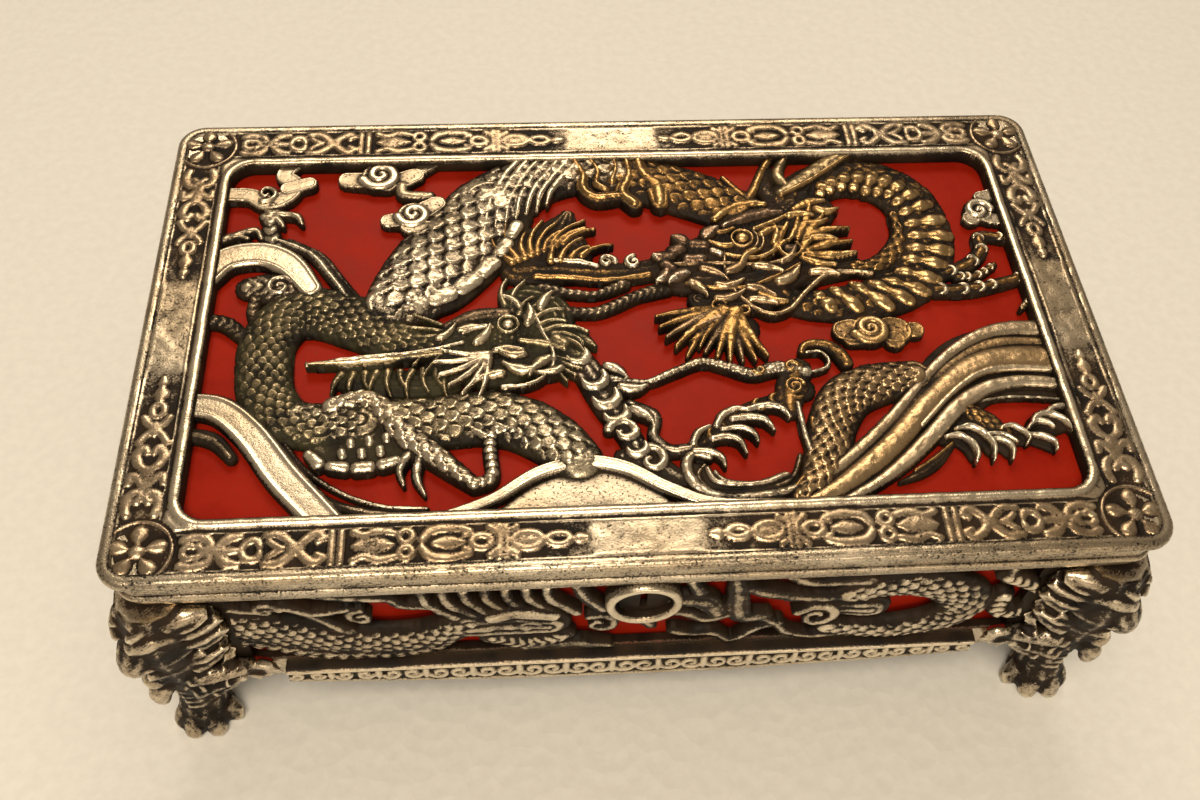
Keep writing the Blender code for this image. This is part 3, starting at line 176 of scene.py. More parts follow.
class Field:
    """A height map over a rectangle, in millimetres: height over the back, a signed distance
    inside the outline, and the metal's tone."""

    def __init__(self, low, high, step):
        self.step = step
        self.x = np.arange(low[0], high[0] + step / 2, step)
        self.y = np.arange(low[1], high[1] + step / 2, step)
        shape = (len(self.y), len(self.x))
        self.height = np.zeros(shape)
        self.inside = np.full(shape, -OUTLINE_MARGIN)
        self.tone = np.zeros(shape + (3,))

    def window(self, low_x, high_x, low_y, high_y):
        columns = slice(*np.searchsorted(self.x, (low_x, high_x)))
        rows = slice(*np.searchsorted(self.y, (low_y, high_y)))
        return rows, columns

    def stroke(self, points, lift, rise, skin, tone):
        """Paints one stroke of (x, y, half width) or (x, y, half width, extra height) points: the
        highest form shows, and outlines join up. A skin with a power has a flatter top."""
        run = smooth_run([(*point, 0.0)[:4] for point in points])
        power = getattr(skin, "power", 2)
        reach = max(point[2] for point in run) + OUTLINE_MARGIN
        rows, columns = self.window(min(p[0] for p in run) - reach, max(p[0] for p in run) + reach,
                                    min(p[1] for p in run) - reach, max(p[1] for p in run) + reach)
        x = self.x[columns][None, :]
        y = self.y[rows][:, None]
        if x.size == 0 or y.size == 0:
            return
        best, along, side, width, extra = trace(run, x, y)
        covered = best < 1
        profile = np.clip(1 - best ** power, 0, 1) ** (1 / power)
        height = lift + extra + rise * profile
        if skin is not None:
            height = height + skin(along, side, np.clip(best, 0, 1), width) * covered
        target = self.height[rows, columns]
        higher = covered & (height > target)
        target[higher] = height[higher]
        self.tone[rows, columns][higher] = tone
        outline = (1 - best) * width
        outline = np.where(best < FAR_OFF - 1, outline, -OUTLINE_MARGIN)
        self.inside[rows, columns] = np.maximum(self.inside[rows, columns], outline)


def scales(size, relief=0.34, spread=1.0):
    """Overlapping round scales in staggered rows: each stands highest at its free end."""
    row_pitch = 0.72 * size
    pitch = 1.02 * spread * size

    def skin(along, side, best, width):
        result = np.zeros_like(along)
        for later in (0, 1, 2):
            row = np.floor(along / row_pitch) - later
            across = side / pitch + 0.5 * (row % 2)
            b = (across - np.round(across)) * pitch
            a = along - (row + 0.5) * row_pitch
            reach = np.hypot(a / (0.82 * size), b / (0.53 * spread * size))
            body = np.clip((1 - reach) / 0.3, 0, 1) ** 0.6
            tilt = np.clip(0.45 + 0.75 * a / size, 0, 1)
            result = np.maximum(result, body * (0.3 + 0.7 * tilt))
        return relief * (1.7 * result - 0.8) * (1 - 0.5 * best ** 4)
    return skin


def flat_top(power=3, skin=None):
    """A skin for strokes with a flatter top and rounder edges, the more so the higher the power."""
    def plate(along, side, best, width):
        return 0 * along if skin is None else skin(along, side, best, width)
    plate.power = power
    return plate


def belly(pitch, from_side, relief, scale_size):
    """Transverse belly plates on one side of the stroke and scales on the other."""
    scaly = scales(scale_size)

    def skin(along, side, best, width):
        phase = along / pitch - np.floor(along / pitch)
        bar = np.sqrt(np.clip(1 - (2 * phase - 1) ** 2 / 0.86, 0, 1))
        position = from_side * side / width
        waist = 1 - 0.35 * np.exp(-((position - 0.28) / 0.16) ** 2)
        plates = relief * (1.3 * bar * waist - 0.75)
        edge = np.clip((position + 0.12) / 0.06, 0, 1)
        return edge * plates + (1 - edge) * scaly(along, side, best, width)
    return skin


def grooves(count, relief=0.3, sharp=0.6):
    """Ridges that run along the stroke."""
    def skin(along, side, best, width):
        wave = np.abs(np.cos(math.pi * 0.5 * (side / width) * count))
        return relief * (wave ** sharp - 0.75)
    return skin


def rims(relief=0.5, at=0.8, spread=0.14):
    """A raised rim along both edges of a band."""
    def skin(along, side, best, width):
        return relief * np.exp(-((best - at) / spread) ** 2) * np.clip(width / 1.5, 0, 1)
    return skin


def curls(pitch, relief=0.5, slant=0.7):
    """Slanting curls across the stroke, as on spray."""
    def skin(along, side, best, width):
        phase = (along + slant * np.abs(side)) / pitch
        return relief * (np.abs(np.cos(math.pi * phase)) ** 0.7 - 0.6)
    return skin


def pebbles(size, relief=0.35):
    """Small round beads in staggered rows."""
    def skin(along, side, best, width):
        row = np.round(along / size)
        across = side / size + 0.5 * (row % 2)
        b = across - np.round(across)
        a = along / size - row
        return relief * (1.4 * np.sqrt(np.clip(1 - (a * a + b * b) / 0.27, 0, 1)) - 0.7)
    return skin


def blur(values, cells):
    """A box blur run three times, which is close to a Gaussian."""
    for axis in (0, 1):
        for _ in range(3):
            pad = [(0, 0), (0, 0)]
            pad[axis] = (cells + 1, cells)
            total = np.cumsum(np.pad(values, pad, mode="edge"), axis=axis)
            size = values.shape[axis]
            upper = np.take(total, np.arange(2 * cells + 1, 2 * cells + 1 + size), axis=axis)
            lower = np.take(total, np.arange(size), axis=axis)
            values = (upper - lower) / (2 * cells + 1)
    return values


def hollows(field, radius):
    """How far each spot stands over its surroundings, in millimetres."""
    mask = (field.inside > 0).astype(float)
    cells = max(1, int(round(radius / field.step)))
    return field.height - blur(field.height * mask, cells) / np.maximum(blur(mask, cells), 1e-3)


def worn_map(field, top):
    """Three shares for the material: fine hollows, broad hollows, and height under the top."""
    radius, gain = FINE_HOLLOWS
    fine = np.clip(0.5 + hollows(field, radius) * gain, 0, 1)
    radius, gain = BROAD_HOLLOWS
    broad = np.clip(0.5 + hollows(field, radius) * gain, 0, 1)
    return np.stack([fine, broad, np.clip(field.height / top, 0, 1), 0 * fine], -1)


def cast_roughness(field, seed, amount):
    """Small uneven bumps of an old hand-finished casting, the same on every run."""
    grains = np.random.RandomState(seed).standard_normal(field.height.shape)
    fine = blur(grains, 1)
    coarse = blur(grains, max(2, int(round(COARSE_GRAIN / field.step))))
    bumps = fine / fine.std() + 1.2 * coarse / coarse.std()
    worn_smooth = np.clip(-field.tone[..., 2], 0, 1)
    amount = amount * (1 - 0.85 * worn_smooth) * (field.inside > -0.1)
    field.height = field.height + amount * np.clip(bumps, -3, 3)


def trimmed_points(field, used, touching):
    """The points of the covered part. Those on its rim move onto the strokes' outline."""
    step = field.step
    x, y = np.meshgrid(field.x, field.y)
    slope_y, slope_x = np.gradient(field.inside, step)
    steep = np.maximum(slope_x ** 2 + slope_y ** 2, 0.3)
    rim = used & (touching < 4)
    move = np.clip(field.inside, -0.9 * step, 0.9 * step) / steep
    shift_x = np.where(rim, -slope_x * move, 0)
    shift_y = np.where(rim, -slope_y * move, 0)
    return np.stack([x + shift_x, y + shift_y, field.height], -1)[used]


def boundary_edges(quads, index):
    """The edges round the covered part, each as the numbers of its two points."""
    none = np.zeros((1, quads.shape[1]), bool)
    below = np.concatenate([none, quads])
    above = np.concatenate([quads, none])
    none = np.zeros((quads.shape[0], 1), bool)
    left = np.concatenate([none, quads], 1)
    right = np.concatenate([quads, none], 1)
    edges = []
    for mask, first, second in (
            (above & ~below, index[:, :-1], index[:, 1:]),
            (below & ~above, index[:, 1:], index[:, :-1]),
            (right & ~left, index[1:], index[:-1]),
            (left & ~right, index[:-1], index[1:])):
        edges.append(np.stack([first[mask], second[mask]], -1))
    return np.concatenate(edges)


def field_mesh(name, field, back, place, shade=None):
    """A mesh of the covered part of a field, its outline trimmed to the strokes and its sides
    taken straight down to the back. place turns (x, y, height) arrays into metres."""
    if shade is None:
        shade = worn_map(field, field.height.max())
    keep = field.inside > -0.45 * field.step
    quads = keep[:-1, :-1] & keep[1:, :-1] & keep[:-1, 1:] & keep[1:, 1:]
    touching = np.zeros(keep.shape, int)
    for rows in (slice(0, -1), slice(1, None)):
        for cols in (slice(0, -1), slice(1, None)):
            touching[rows, cols] += quads
    used = touching > 0
    index = np.cumsum(used).reshape(used.shape) - 1
    top = trimmed_points(field, used, touching)
    colour = shade[used]
    tone = np.concatenate([field.tone, np.ones(keep.shape + (1,))], -1)[used]
    faces = np.stack([index[:-1, :-1], index[:-1, 1:], index[1:, 1:], index[1:, :-1]], -1)[quads]
    edges = boundary_edges(quads, index)
    rim_ids, low_ids = np.unique(edges, return_inverse=True)
    low_ids = low_ids.reshape(edges.shape) + len(top)
    bottom = top[rim_ids].copy()
    bottom[:, 2] = back
    sides = np.stack([edges[:, 1], edges[:, 0], low_ids[:, 0], low_ids[:, 1]], -1)
    # The sides darken towards their lower ends: painted shade in the openings
    colours = np.concatenate([colour, colour[rim_ids] * PAINTED_SIDE_SHADE])
    tones = np.concatenate([tone, tone[rim_ids]])
    return quad_mesh(name, place(np.concatenate([top, bottom])), np.concatenate([faces, sides]),
                     colours, tones)


def link_object(name, data):
    """A new object in the scene."""
    thing = bpy.data.objects.new(name, data)
    bpy.context.scene.collection.objects.link(thing)
    return thing


def quad_mesh(name, points, faces, colours, tones):
    """A smooth mesh of quads, with the wear and tone attributes that the materials read."""
    mesh = bpy.data.meshes.new(name)
    mesh.vertices.add(len(points))
    mesh.vertices.foreach_set("co", np.asarray(points, np.float32).ravel())
    mesh.loops.add(faces.size)
    mesh.loops.foreach_set("vertex_index", faces.astype(np.int32).ravel())
    mesh.polygons.add(len(faces))
    mesh.polygons.foreach_set("loop_start", np.arange(0, faces.size, 4, dtype=np.int32))
    mesh.polygons.foreach_set("use_smooth", np.ones(len(faces), bool))
    mesh.update(calc_edges=True)
    for label, values in (("wear", colours), ("tone", tones)):
        layer = mesh.color_attributes.new(label, "FLOAT_COLOR", "POINT")
        layer.data.foreach_set("color", np.asarray(values, np.float32).ravel())
    return link_object(name, mesh)


def face_outwards(piece):
    """Turns all faces of a closed piece outwards."""
    work = bmesh.new()
    work.from_mesh(piece.data)
    bmesh.ops.recalc_face_normals(work, faces=work.faces)
    work.to_mesh(piece.data)
    work.free()


def finish_piece(thing, material, node):
    """Gives a piece its looks, says what it rides on, and hides the solid that it stands for."""
    thing.data.materials.clear()
    thing.data.materials.append(material)
    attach(thing, "root")
    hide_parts(node)


# Materials

# Colours of the metal where it is bright, in linear light
PALE_METAL = (0.68, 0.59, 0.45, 1)
YELLOWED_METAL = (0.52, 0.42, 0.29, 1)
GILT_METAL = (0.42, 0.245, 0.085, 1)
GREENED_METAL = (0.29, 0.235, 0.12, 1)
BROWNED_METAL = (0.17, 0.10, 0.06, 1)

# The same where it is rubbed to a polish
POLISHED_METAL = (0.84, 0.74, 0.57, 1)
POLISHED_GILT = (0.62, 0.43, 0.20, 1)
POLISHED_GREEN = (0.50, 0.43, 0.26, 1)

# The dirt in the hollows, whose colours also give the painted shade down the sides of the openings
BLACK_GRIME_AND_SHADE = (0.006, 0.004, 0.0025, 1)
BROWN_GRIME_AND_SHADE = (0.028, 0.016, 0.008, 1)
GREEN_GRIME_AND_SHADE = (0.040, 0.036, 0.016, 1)

LACQUER_DEEP = (0.255, 0.010, 0.003, 1)
LACQUER_LIGHT = (0.32, 0.015, 0.005, 1)
LACQUER_DUST = (0.25, 0.025, 0.010, 1)

# How much each part of the relief adds to the brightness
FINE_WEIGHT = 0.66
BROAD_WEIGHT = 0.46
HEIGHT_WEIGHT = 0.34
PLAIN_LEVEL = 0.56
MEAN_HEIGHT = 0.7

# How much each stain takes from it
BROWN_STAIN = 0.16
GREEN_STAIN = 0.09
PEPPER_STAIN = 0.14

# The levels at which the metal starts to show, is all bright, and is polished
DARK_LEVEL = 0.40
BRIGHT_LEVEL = 0.72
POLISHED_LEVEL = 1.0

# How many cells of each noise there are to a metre
SPECK_SCALE = 2600
PEPPER_SCALE = 1900
PATCH_SCALE = 160
CLOUD_SCALE = 45


class Nodes:
    """Builds a node tree: add(type, inputs by name, settings) gives the node's first output."""

    def __init__(self, name):
        self.material = bpy.data.materials.new(name)
        self.material.use_nodes = True
        self.tree = self.material.node_tree
        self.shader = self.tree.nodes["Principled BSDF"]

    def add(self, kind, inputs=(), output=0, **settings):
        node = self.tree.nodes.new(kind)
        for key, value in settings.items():
            setattr(node, key, value)
        for key, value in dict(inputs).items():
            self.set(node.inputs[key], value)
        return node.outputs[output]

    def set(self, socket, value):
        if isinstance(value, bpy.types.NodeSocket):
            self.tree.links.new(value, socket)
        else:
            socket.default_value = value

    def math(self, operation, a, b=0.0, clamp=False):
        return self.add("ShaderNodeMath", {0: a, 1: b}, operation=operation, use_clamp=clamp)

    def plus(self, a, b):
        return self.math("ADD", a, b)

    def minus(self, a, b):
        return self.math("SUBTRACT", a, b)

    def times(self, a, b):
        return self.math("MULTIPLY", a, b)

    def ramp(self, value, low, high):
        """0 below low, 1 above high, eased between."""
        return self.add("ShaderNodeMapRange", {"Value": value, "From Min": low, "From Max": high},
                        interpolation_type="SMOOTHSTEP")

    def mix(self, share, a, b):
        node = self.tree.nodes.new("ShaderNodeMix")
        node.data_type = "RGBA"
        self.set(node.inputs["Factor"], share)
        self.set(node.inputs[6], a)
        self.set(node.inputs[7], b)
        return node.outputs[2]

    def attribute(self, name):
        """The red, green and blue parts of one of the meshes' colour attributes."""
        colour = self.add("ShaderNodeVertexColor", layer_name=name)
        parts = self.add("ShaderNodeSeparateColor", {"Color": colour}).node.outputs
        return parts[0], parts[1], parts[2]

    def noise(self, scale, detail, roughness=0.55):
        place = self.add("ShaderNodeTexCoord", output=3)
        return self.add("ShaderNodeTexNoise", {"Vector": place, "Scale": scale, "Detail": detail,
                                               "Roughness": roughness})

    def bump(self, height, strength, distance, under=None):
        inputs = {"Strength": strength, "Distance": distance, "Height": height}
        if under is not None:
            inputs["Normal"] = under
        return self.add("ShaderNodeBump", inputs)


def rubbed_level(n, green, brown, specks, patches, depth):
    """How rubbed each spot is. It is high on what stands out, and its grain fades where the tone
    says rubbed clean. A lower depth takes less from the hollows."""
    fine, broad, high = n.attribute("wear")
    relief = n.plus(n.times(fine, FINE_WEIGHT * depth), n.times(broad, BROAD_WEIGHT * depth))
    relief = n.plus(relief, PLAIN_LEVEL * (1 - depth))
    relief = n.plus(relief, n.times(n.minus(high, MEAN_HEIGHT), HEIGHT_WEIGHT))
    clean = n.math("MULTIPLY", brown, -1.0, clamp=True)
    grain = n.plus(n.times(n.minus(specks, 0.5), 0.5), n.times(n.minus(patches, 0.5), 0.45))
    grain = n.times(grain, n.minus(1.0, n.times(clean, 0.8)))
    pepper = n.ramp(n.noise(PEPPER_SCALE, 2), 0.56, 0.66)
    level = n.plus(relief, grain)
    level = n.minus(level, n.times(brown, BROWN_STAIN))
    level = n.minus(level, n.times(green, GREEN_STAIN))
    return n.minus(level, n.times(pepper, PEPPER_STAIN))


def metal_colour(n, gold, green, brown, polish):
    """The metal's own colour, from worn and tinted to polished."""
    worn = n.mix(n.ramp(n.noise(CLOUD_SCALE, 3), 0.35, 0.65), PALE_METAL, YELLOWED_METAL)
    worn = n.mix(gold, worn, GILT_METAL)
    worn = n.mix(n.times(green, 0.75), worn, GREENED_METAL)
    worn = n.mix(n.times(brown, 0.8), worn, BROWNED_METAL)
    shiny = n.mix(gold, POLISHED_METAL, POLISHED_GILT)
    shiny = n.mix(n.times(green, 0.6), shiny, POLISHED_GREEN)
    return n.mix(polish, worn, shiny)


def aged_silver(name, age, shine, depth=1.0):
    """Silvered cast metal: bright where it is rubbed, brown-black in the hollows and, as painted shade,
    down the sides of the openings. A higher age is darker, a lower shine is glossier. It reads the meshes'
    wear and tone attributes; the wear holds that painted shade."""
    n = Nodes(name)
    gold, green, brown = n.attribute("tone")
    specks = n.noise(SPECK_SCALE, 3)
    patches = n.noise(PATCH_SCALE, 4)
    level = rubbed_level(n, green, brown, specks, patches, depth)
    bright = n.ramp(level, DARK_LEVEL + age, BRIGHT_LEVEL + age)
    polish = n.ramp(level, BRIGHT_LEVEL + age, POLISHED_LEVEL + age)
    metal = metal_colour(n, gold, green, brown, polish)
    grime_and_shade = n.mix(n.ramp(patches, 0.3, 0.7), BLACK_GRIME_AND_SHADE, n.mix(green, BROWN_GRIME_AND_SHADE, GREEN_GRIME_AND_SHADE))
    n.set(n.shader.inputs["Base Color"], n.mix(bright, grime_and_shade, metal))
    n.set(n.shader.inputs["Metallic"], n.ramp(bright, 0.0, 0.6))
    n.set(n.shader.inputs["Specular IOR Level"], 0.15)
    rough = n.plus(n.times(n.minus(1.0, bright), 0.28), n.times(patches, 0.22))
    n.set(n.shader.inputs["Roughness"], n.plus(rough, shine))
    pits = n.bump(specks, 0.35, 0.00012)
    n.set(n.shader.inputs["Normal"], n.bump(patches, 0.1, 0.0003, pits))
    return n.material


def red_lacquer():
    """Dull red lacquer, mottled, with a trace of dust."""
    n = Nodes("red_lacquer_looks")
    mottle = n.noise(120, 5, 0.6)
    dust = n.noise(1500, 2)
    colour = n.mix(n.ramp(mottle, 0.3, 0.7), LACQUER_DEEP, LACQUER_LIGHT)
    n.set(n.shader.inputs["Base Color"], n.mix(n.ramp(dust, 0.62, 0.8), colour, LACQUER_DUST))
    n.set(n.shader.inputs["Roughness"], n.plus(n.times(mottle, 0.3), 0.22))
    n.set(n.shader.inputs["Specular IOR Level"], 0.06)
    n.set(n.shader.inputs["Normal"], n.bump(mottle, 0.15, 0.0002))
    return n.material


# The lid's openwork. Each entry is (skin, tone, lift, rise, points).


def alike(skin, tone, lift, rise, *strokes):
    """Entries for several lines of points that have all else in common."""
    return [(skin, tone, lift, rise, points) for points in strokes]


def coil(x, y, radius, width, start, turns, steps=12, inner=0.2):
    """A line that winds inwards about (x, y)."""
    points = []
    for step in range(steps + 1):
        share = step / steps
        angle = math.radians(start + 360 * turns * share)
        reach = radius * (1 - (1 - inner) * share)
        points.append((x + reach * math.cos(angle), y + reach * math.sin(angle),
                       width * (1 - 0.45 * share)))
    return points


def tuft(x, y, angles, length, width, bend=25):
    """Locks of hair that fan out from one spot, each bent to the side."""
    locks = []
    for angle in angles:
        points = []
        for share in (0, 0.35, 0.7, 1):
            turn = math.radians(angle + bend * share)
            points.append((x + length * share * math.cos(turn), y + length * share * math.sin(turn),
                           width * (1 - 0.75 * share)))
        locks.append(points)
    return locks


def commas(rows, tone, lift, rise):
    """Short plump strokes, each (x, y, direction, length, half width), thick first and bent."""
    entries = []
    for index, (x, y, direction, length, width) in enumerate(rows):
        line = []
        for share, thick in ((0, 0.75), (0.3, 1.0), (0.65, 0.75), (1, 0.25)):
            turn = math.radians(direction + (26 if index % 2 else -22) * share)
            line.append((x + length * share * math.cos(turn), y + length * share * math.sin(turn),
                         width * thick))
        entries.append((None, tone, lift + 0.1 * (index % 3), rise, line))
    return entries


def combed(start, end, angles, length, width, bend):
    """Locks of hair side by side along a line, their directions turning from one to the next."""
    locks = []
    for index, angle in enumerate(angles):
        share = index / max(len(angles) - 1, 1)
        x = start[0] + share * (end[0] - start[0])
        y = start[1] + share * (end[1] - start[1])
        reach = length * (1 + 0.22 * math.sin(2.3 * index))
        locks += tuft(x, y, (angle,), reach, width, bend)
    return locks


def crescents(points, count, lift, tone, bulge=0.9):
    """Raised arcs stacked along a line like cups, each as wide as the line."""
    run = smooth_run(points)
    entries = []
    for index in range(count):
        place = (index + 0.5) / count * (len(run) - 1)
        x, y, width = run[int(place)]
        after = run[min(int(place) + 1, len(run) - 1)]
        before = run[max(int(place) - 1, 0)]
        turn = math.atan2(after[1] - before[1], after[0] - before[0])
        arc = []
        for degrees in (-100, -60, -20, 20, 60, 100):
            angle = turn + math.radians(degrees)
            arc.append((x + width * bulge * math.cos(angle), y + width * bulge * math.sin(angle),
                        0.46 * width * math.cos(math.radians(degrees * 0.75))))
        entries.append((None, tone, lift, 1.0, arc))
    return entries


def wave_bands():
    """The great wave at the right: wide smooth bands with dark grooves between them."""
    return [
        (None, BROWN, 0.5, 0.5,
         [(80, -12.4, 8.6), (74, -12.2, 8.4), (67, -13, 8), (61, -16, 7.3), (52, -24.5, 5.6),
          (43, -33, 4.6), (34, -39.5, 3.2), (26, -42.5, 2.2)]),
        (flat_top(), SATIN, 0.8, 1.3,
         [(80, -5.6, 2.0), (74, -5.2, 1.8), (68, -6.2, 1.5), (62, -9.3, 1.25), (57, -13.2, 1.1),
          (52, -18.3, 1.05), (46, -24.8, 1.15), (40, -30.4, 1.25), (34, -35.2, 1.25), (27, -39.6, 1.1)]),
        (flat_top(), CLEAN_GOLD, 0.7, 1.1,
         [(80, -8.8, 1.0), (72, -8.3, 1.2), (66, -9.6, 1.3), (60, -13.2, 1.2), (55, -17.5, 1.0),
          (50, -22.6, 0.8), (45, -28, 0.6)]),
        (flat_top(2.6), CLEAN_GOLD, 0.8, 1.6,
         [(80, -13, 3.2), (72, -12.6, 3.2), (65, -13.6, 2.8), (59, -17.2, 2.5), (53, -22.4, 2.3),
          (47, -28.6, 2.3), (41, -34, 2.3), (34, -39, 1.9), (28, -42, 1.4)]),
        (None, SATIN, 1.2, 1.15,
         [(80, -15.6, 0.7), (70, -14.8, 0.75), (64, -16, 0.7), (58, -20.2, 0.6), (51, -27, 0.5)]),
        (flat_top(), SATIN, 0.8, 1.3,
         [(80, -18.6, 1.2), (72, -17.6, 1.3), (65, -18.9, 1.5), (59, -22.6, 1.7), (54, -27.4, 1.65),
          (48, -33, 1.5), (42, -37.6, 1.2), (35, -41.6, 1.0)]),
        (None, BROWN, 0.4, 0.5, [(80, -20.6, 0.9), (71, -19.8, 0.9), (64, -21.2, 0.7)]),
        (None, SILVER, 0.6, 0.7,
         [(80, -21.9, 0.45), (71, -20.9, 0.5), (65, -21.3, 0.45), (61.5, -22.5, 0.3)]),
        (grooves(2, 0.3), BROWN, 0.3, 0.8,
         [(56, -30.8, 0.5), (52.5, -34, 1.1), (49, -36.4, 0.9), (45, -38, 0.4)]),
        (None, GOLD, 0.8, 0.6, [(56, -30.4, 0.3), (52.2, -33.4, 0.4), (48, -36, 0.35)]),
        (None, BROWN, 0.8, 0.5, [(58, -15.2, 0.3), (55.4, -17.6, 0.35), (53.8, -19, 0.2)]),
    ]


def lid_waves():
    """The great wave, the bands of the other waves and the thin lines between them."""
    entries = wave_bands()
    smooth = flat_top(3, rims(0.28, 0.72, 0.16))
    entries += [
        (smooth, CLEAN, 0.8, 1.1,
         [(-80, -17.3, 2.7), (-74, -18.5, 2.9), (-68, -24, 3.1), (-62, -32.5, 3.3),
          (-56.5, -39, 3.2), (-53, -43, 3)]),
        (grooves(2), DULL, 0.6, 0.9, [(-80, -23, 1.4), (-74.5, -24.7, 1.5), (-71, -28.5, 1.1)]),
        (grooves(2), DULL, 0.5, 0.9,
         [(-66, -23, 0.9), (-61, -31.5, 0.9), (-55, -37.2, 0.9), (-47, -40.3, 0.9),
          (-38, -41.3, 0.9), (-29, -41.8, 0.9)]),
        (None, SILVER, 0.5, 0.9,
         [(-64.4, -22, 0.45), (-59, -30.3, 0.5), (-53, -35.6, 0.5), (-45, -39.2, 0.5), (-37, -40, 0.4)]),
        (smooth, CLEAN, 0.8, 1.2,
         [(-80, 12.5, 3), (-76.5, 17, 3.3), (-70, 18, 3.3), (-64.5, 15.2, 3), (-60, 9, 2.2)]),
        (grooves(2), SILVER, 0.7, 1.0,
         [(-68, 22, 1.0), (-61, 18.3, 1.2), (-56.3, 12, 1.2), (-52.5, 6, 1.2), (-48, 1, 1.0)]),
        (None, DULL, 0.6, 0.9, [(-65, 21.8, 0.5), (-58.5, 17.6, 0.6), (-54.3, 11.5, 0.6), (-50.5, 6, 0.5)]),
        (flat_top(3, rims(0.2, 0.7, 0.2)), CLEAN, 0.8, 1.3,
         [(-35, -42.3, 1.0), (-26, -39, 1.1), (-18, -34, 1.3), (-10, -32.1, 1.4),
          (-3, -33.5, 1.4), (4, -37.8, 1.3), (12, -41.2, 1.1), (25, -41.8, 1)]),
        (flat_top(), CLEAN, 0.7, 0.7,
         [(-24, -42, 1.6), (-16, -39, 4), (-8, -37.8, 4.6), (-1, -39.8, 3.6), (5, -42.5, 1)]),
        (None, SILVER, 0.8, 1.1,
         [(12, -32, 0.8), (9, -31.2, 1.0), (7.8, -34, 1.15), (9.4, -38, 1.2), (14, -40.2, 1.25),
          (21, -40, 1.2), (27, -38.4, 1.0), (30, -33.6, 0.8), (29.6, -27, 0.75), (29.4, -21, 0.6)]),
        (None, SILVER, 0.7, 1.0,
         [(11.4, -34.2, 0.6), (12.6, -36.6, 0.75), (16, -37.6, 0.8), (21, -37.4, 0.7), (25.4, -35.8, 0.45)]),
        (None, DULL, 0.6, 0.9,
         [(11, -33.4, 0.5), (9.6, -35.6, 0.5), (12, -38.6, 0.6), (19, -38.9, 0.6), (25.6, -37, 0.6),
          (28.2, -32, 0.5)]),
        (None, DULL, 0.3, 0.7, [(10, -34, 1.6), (13, -37.6, 1.8), (20, -38.6, 1.8), (27, -36.4, 1.4)]),
        (None, SILVER, 0.7, 0.9,
         [(12.6, -34.8, 0.4), (14.5, -36.8, 0.5), (20, -37.3, 0.5), (25, -35.6, 0.4)]),
        (None, GOLD, 0.9, 1.0, [(31.6, -24.5, 0.8), (31.0, -30, 0.9), (29.4, -35, 0.9), (26.5, -38.5, 0.8)]),
    ]
    return entries


